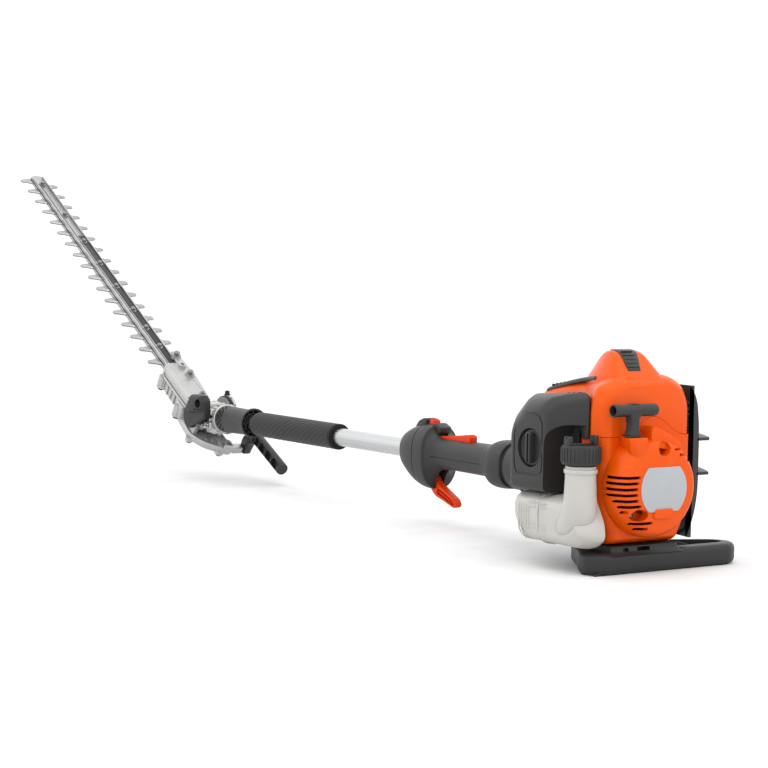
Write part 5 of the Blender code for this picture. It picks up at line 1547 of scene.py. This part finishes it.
def guideBar():
    half, shoulder = bar["half"], bar["tip"] - 4
    outline = [(bar["start"], -half), (shoulder, -half), (bar["tip"], 0), (shoulder, half), (bar["start"], half)]
    floor = softened(prism(eased(outline, [0.5, 3, 4, 3, 0.5], 4), bar["low"], bar["floor"], "z"), 0.5)
    flanges = []
    for low, high in ((-10.9, -8.5), (8.5, 10.9)):
        wall = [(bar["start"], low), (735, low), (735, high), (bar["start"], high)]
        flanges.append(softened(prism(wall, bar["floor"] - 0.4, bar["high"], "z"), 0.8, 3))
    lip = softened(block((bar["start"], 3.4, bar["floor"] - 0.3), (700, 5.0, bar["floor"] + 1.4)), 0.5)
    return together(floor, *flanges, lip)


piece("guideBar", guideBar(), "channel", "head", ["guide_bar"], headSpace)
strip = softened(block((126.2, -8.3, 6.1), (530, 3.0, 6.9)), 0.25)
piece("barStrip", strip, "dark", "head", (), headSpace)


def bladeTooth(low, high, side, bevelUp):
    root, tip, reach = 9.0, 3.4, 31.8
    outer = [
        (-root, 11.5 * side), (-tip - 2.8, 19 * side), (-tip, (reach - 1) * side), (0, reach * side),
        (tip, (reach - 1) * side), (tip + 2.8, 19 * side), (root, 11.5 * side),
    ]
    inner = [
        (-root + 2.6, 11.5 * side), (-tip - 0.8, 18.4 * side), (-tip + 1.7, (reach - 2.6) * side),
        (0, (reach - 1.8) * side), (tip - 1.7, (reach - 2.6) * side), (tip + 0.8, 18.4 * side),
        (root - 2.6, 11.5 * side),
    ]
    first = [(a, b, low) for a, b in (outer if bevelUp else inner)]
    middle = [(a, b, (low * 0.35 + high * 0.65) if not bevelUp else (low * 0.65 + high * 0.35)) for a, b in outer]
    last = [(a, b, high) for a, b in (inner if bevelUp else outer)]
    return loft([first, middle, last])


def cuttingBlade(low, high, bevelUp):
    plate = prism(
        eased([(62, -12.4), (738, -12.4), (742, -8), (742, 8), (738, 12.4), (62, 12.4)], 2, 3), low, high, "z",
    )
    plate = softened(plate, 0.25, 1)
    cutters = []
    for x in boltPlaces:
        cutters.append(
            prism(eased([(x - 12.2, -2.6), (x + 12.2, -2.6), (x + 12.2, 2.6), (x - 12.2, 2.6)], 2.5, 4), low - 5, high + 5, "z")
        )
    plate = carved(plate, *cutters)
    left = repeated(bladeTooth(low, high, 1, bevelUp), 17, start=(bar["firstTooth"], 0, 0), step=(bar["pitch"], 0, 0))
    right = repeated(
        bladeTooth(low, high, -1, bevelUp), 16, start=(bar["firstTooth"] + bar["pitch"] / 2, 0, 0),
        step=(bar["pitch"], 0, 0),
    )
    return together(plate, left, right)


piece(
    "upperBlade", cuttingBlade(0.15, 2.45, True), "steel", "top_blade", ["upper_blade"], headSpace,
    smooth=20,
)
piece(
    "lowerBlade", cuttingBlade(-2.45, -0.15, False), "steel", "bottom_blade", ["lower_blade"],
    headSpace, smooth=20,
)
for number, x in enumerate(boltPlaces, 1):
    head = hexBolt(3.7, 5.6, (x, 0, 6.0), washer=1.6)
    sleeve = lathe([(0, -3.0), (2.0, -3.0), (2.0, 6.2), (0, 6.2)], "z", 24, (x, 0))
    nut = hexBolt(3.4, 3.0, (x, 0, -2.8), (0, 0, -1), 1.3)
    piece(
        f"bladeBolt{number}", together(head, sleeve, nut), "bolt", "head", [f"blade_bolt_{number}"],
        headSpace,
    )
print("guide bar and blades done")


# Finishes for the solids that stay as they are

stayFinishes = {
    "bolt": ("lock_pin", "crankshaft", "drive_shaft", "input_pinion", "output_pinion"),
    "steel": ("clutch_drum", "clutch_shoes", "intermediate_gear", "crank_gear"),
    "dullCasting": ("crankcase", "cylinder", "piston", "flywheel", "carburettor", "muffler"),
    "bronze": ("shaft_bush_rear", "shaft_bush_front"),
    "black": ("recoil_pulley",),
}
for finish, nodes in stayFinishes.items():
    for node in nodes:
        thing = frame["nodes"][node]
        thing.data.materials.clear()
        thing.data.materials.append(finishes[finish])
print("inner solids painted")


# Floor, sizes and finish

ground = asObject("floor", prism(circle(30000, 64), -3, 0, "z"))
ground.data.transform(millimetre)
ground.data.materials.append(mouldedPlastic("paleFloor", (0.70, 0.70, 0.70), 0.9, 0.05, 0.0))
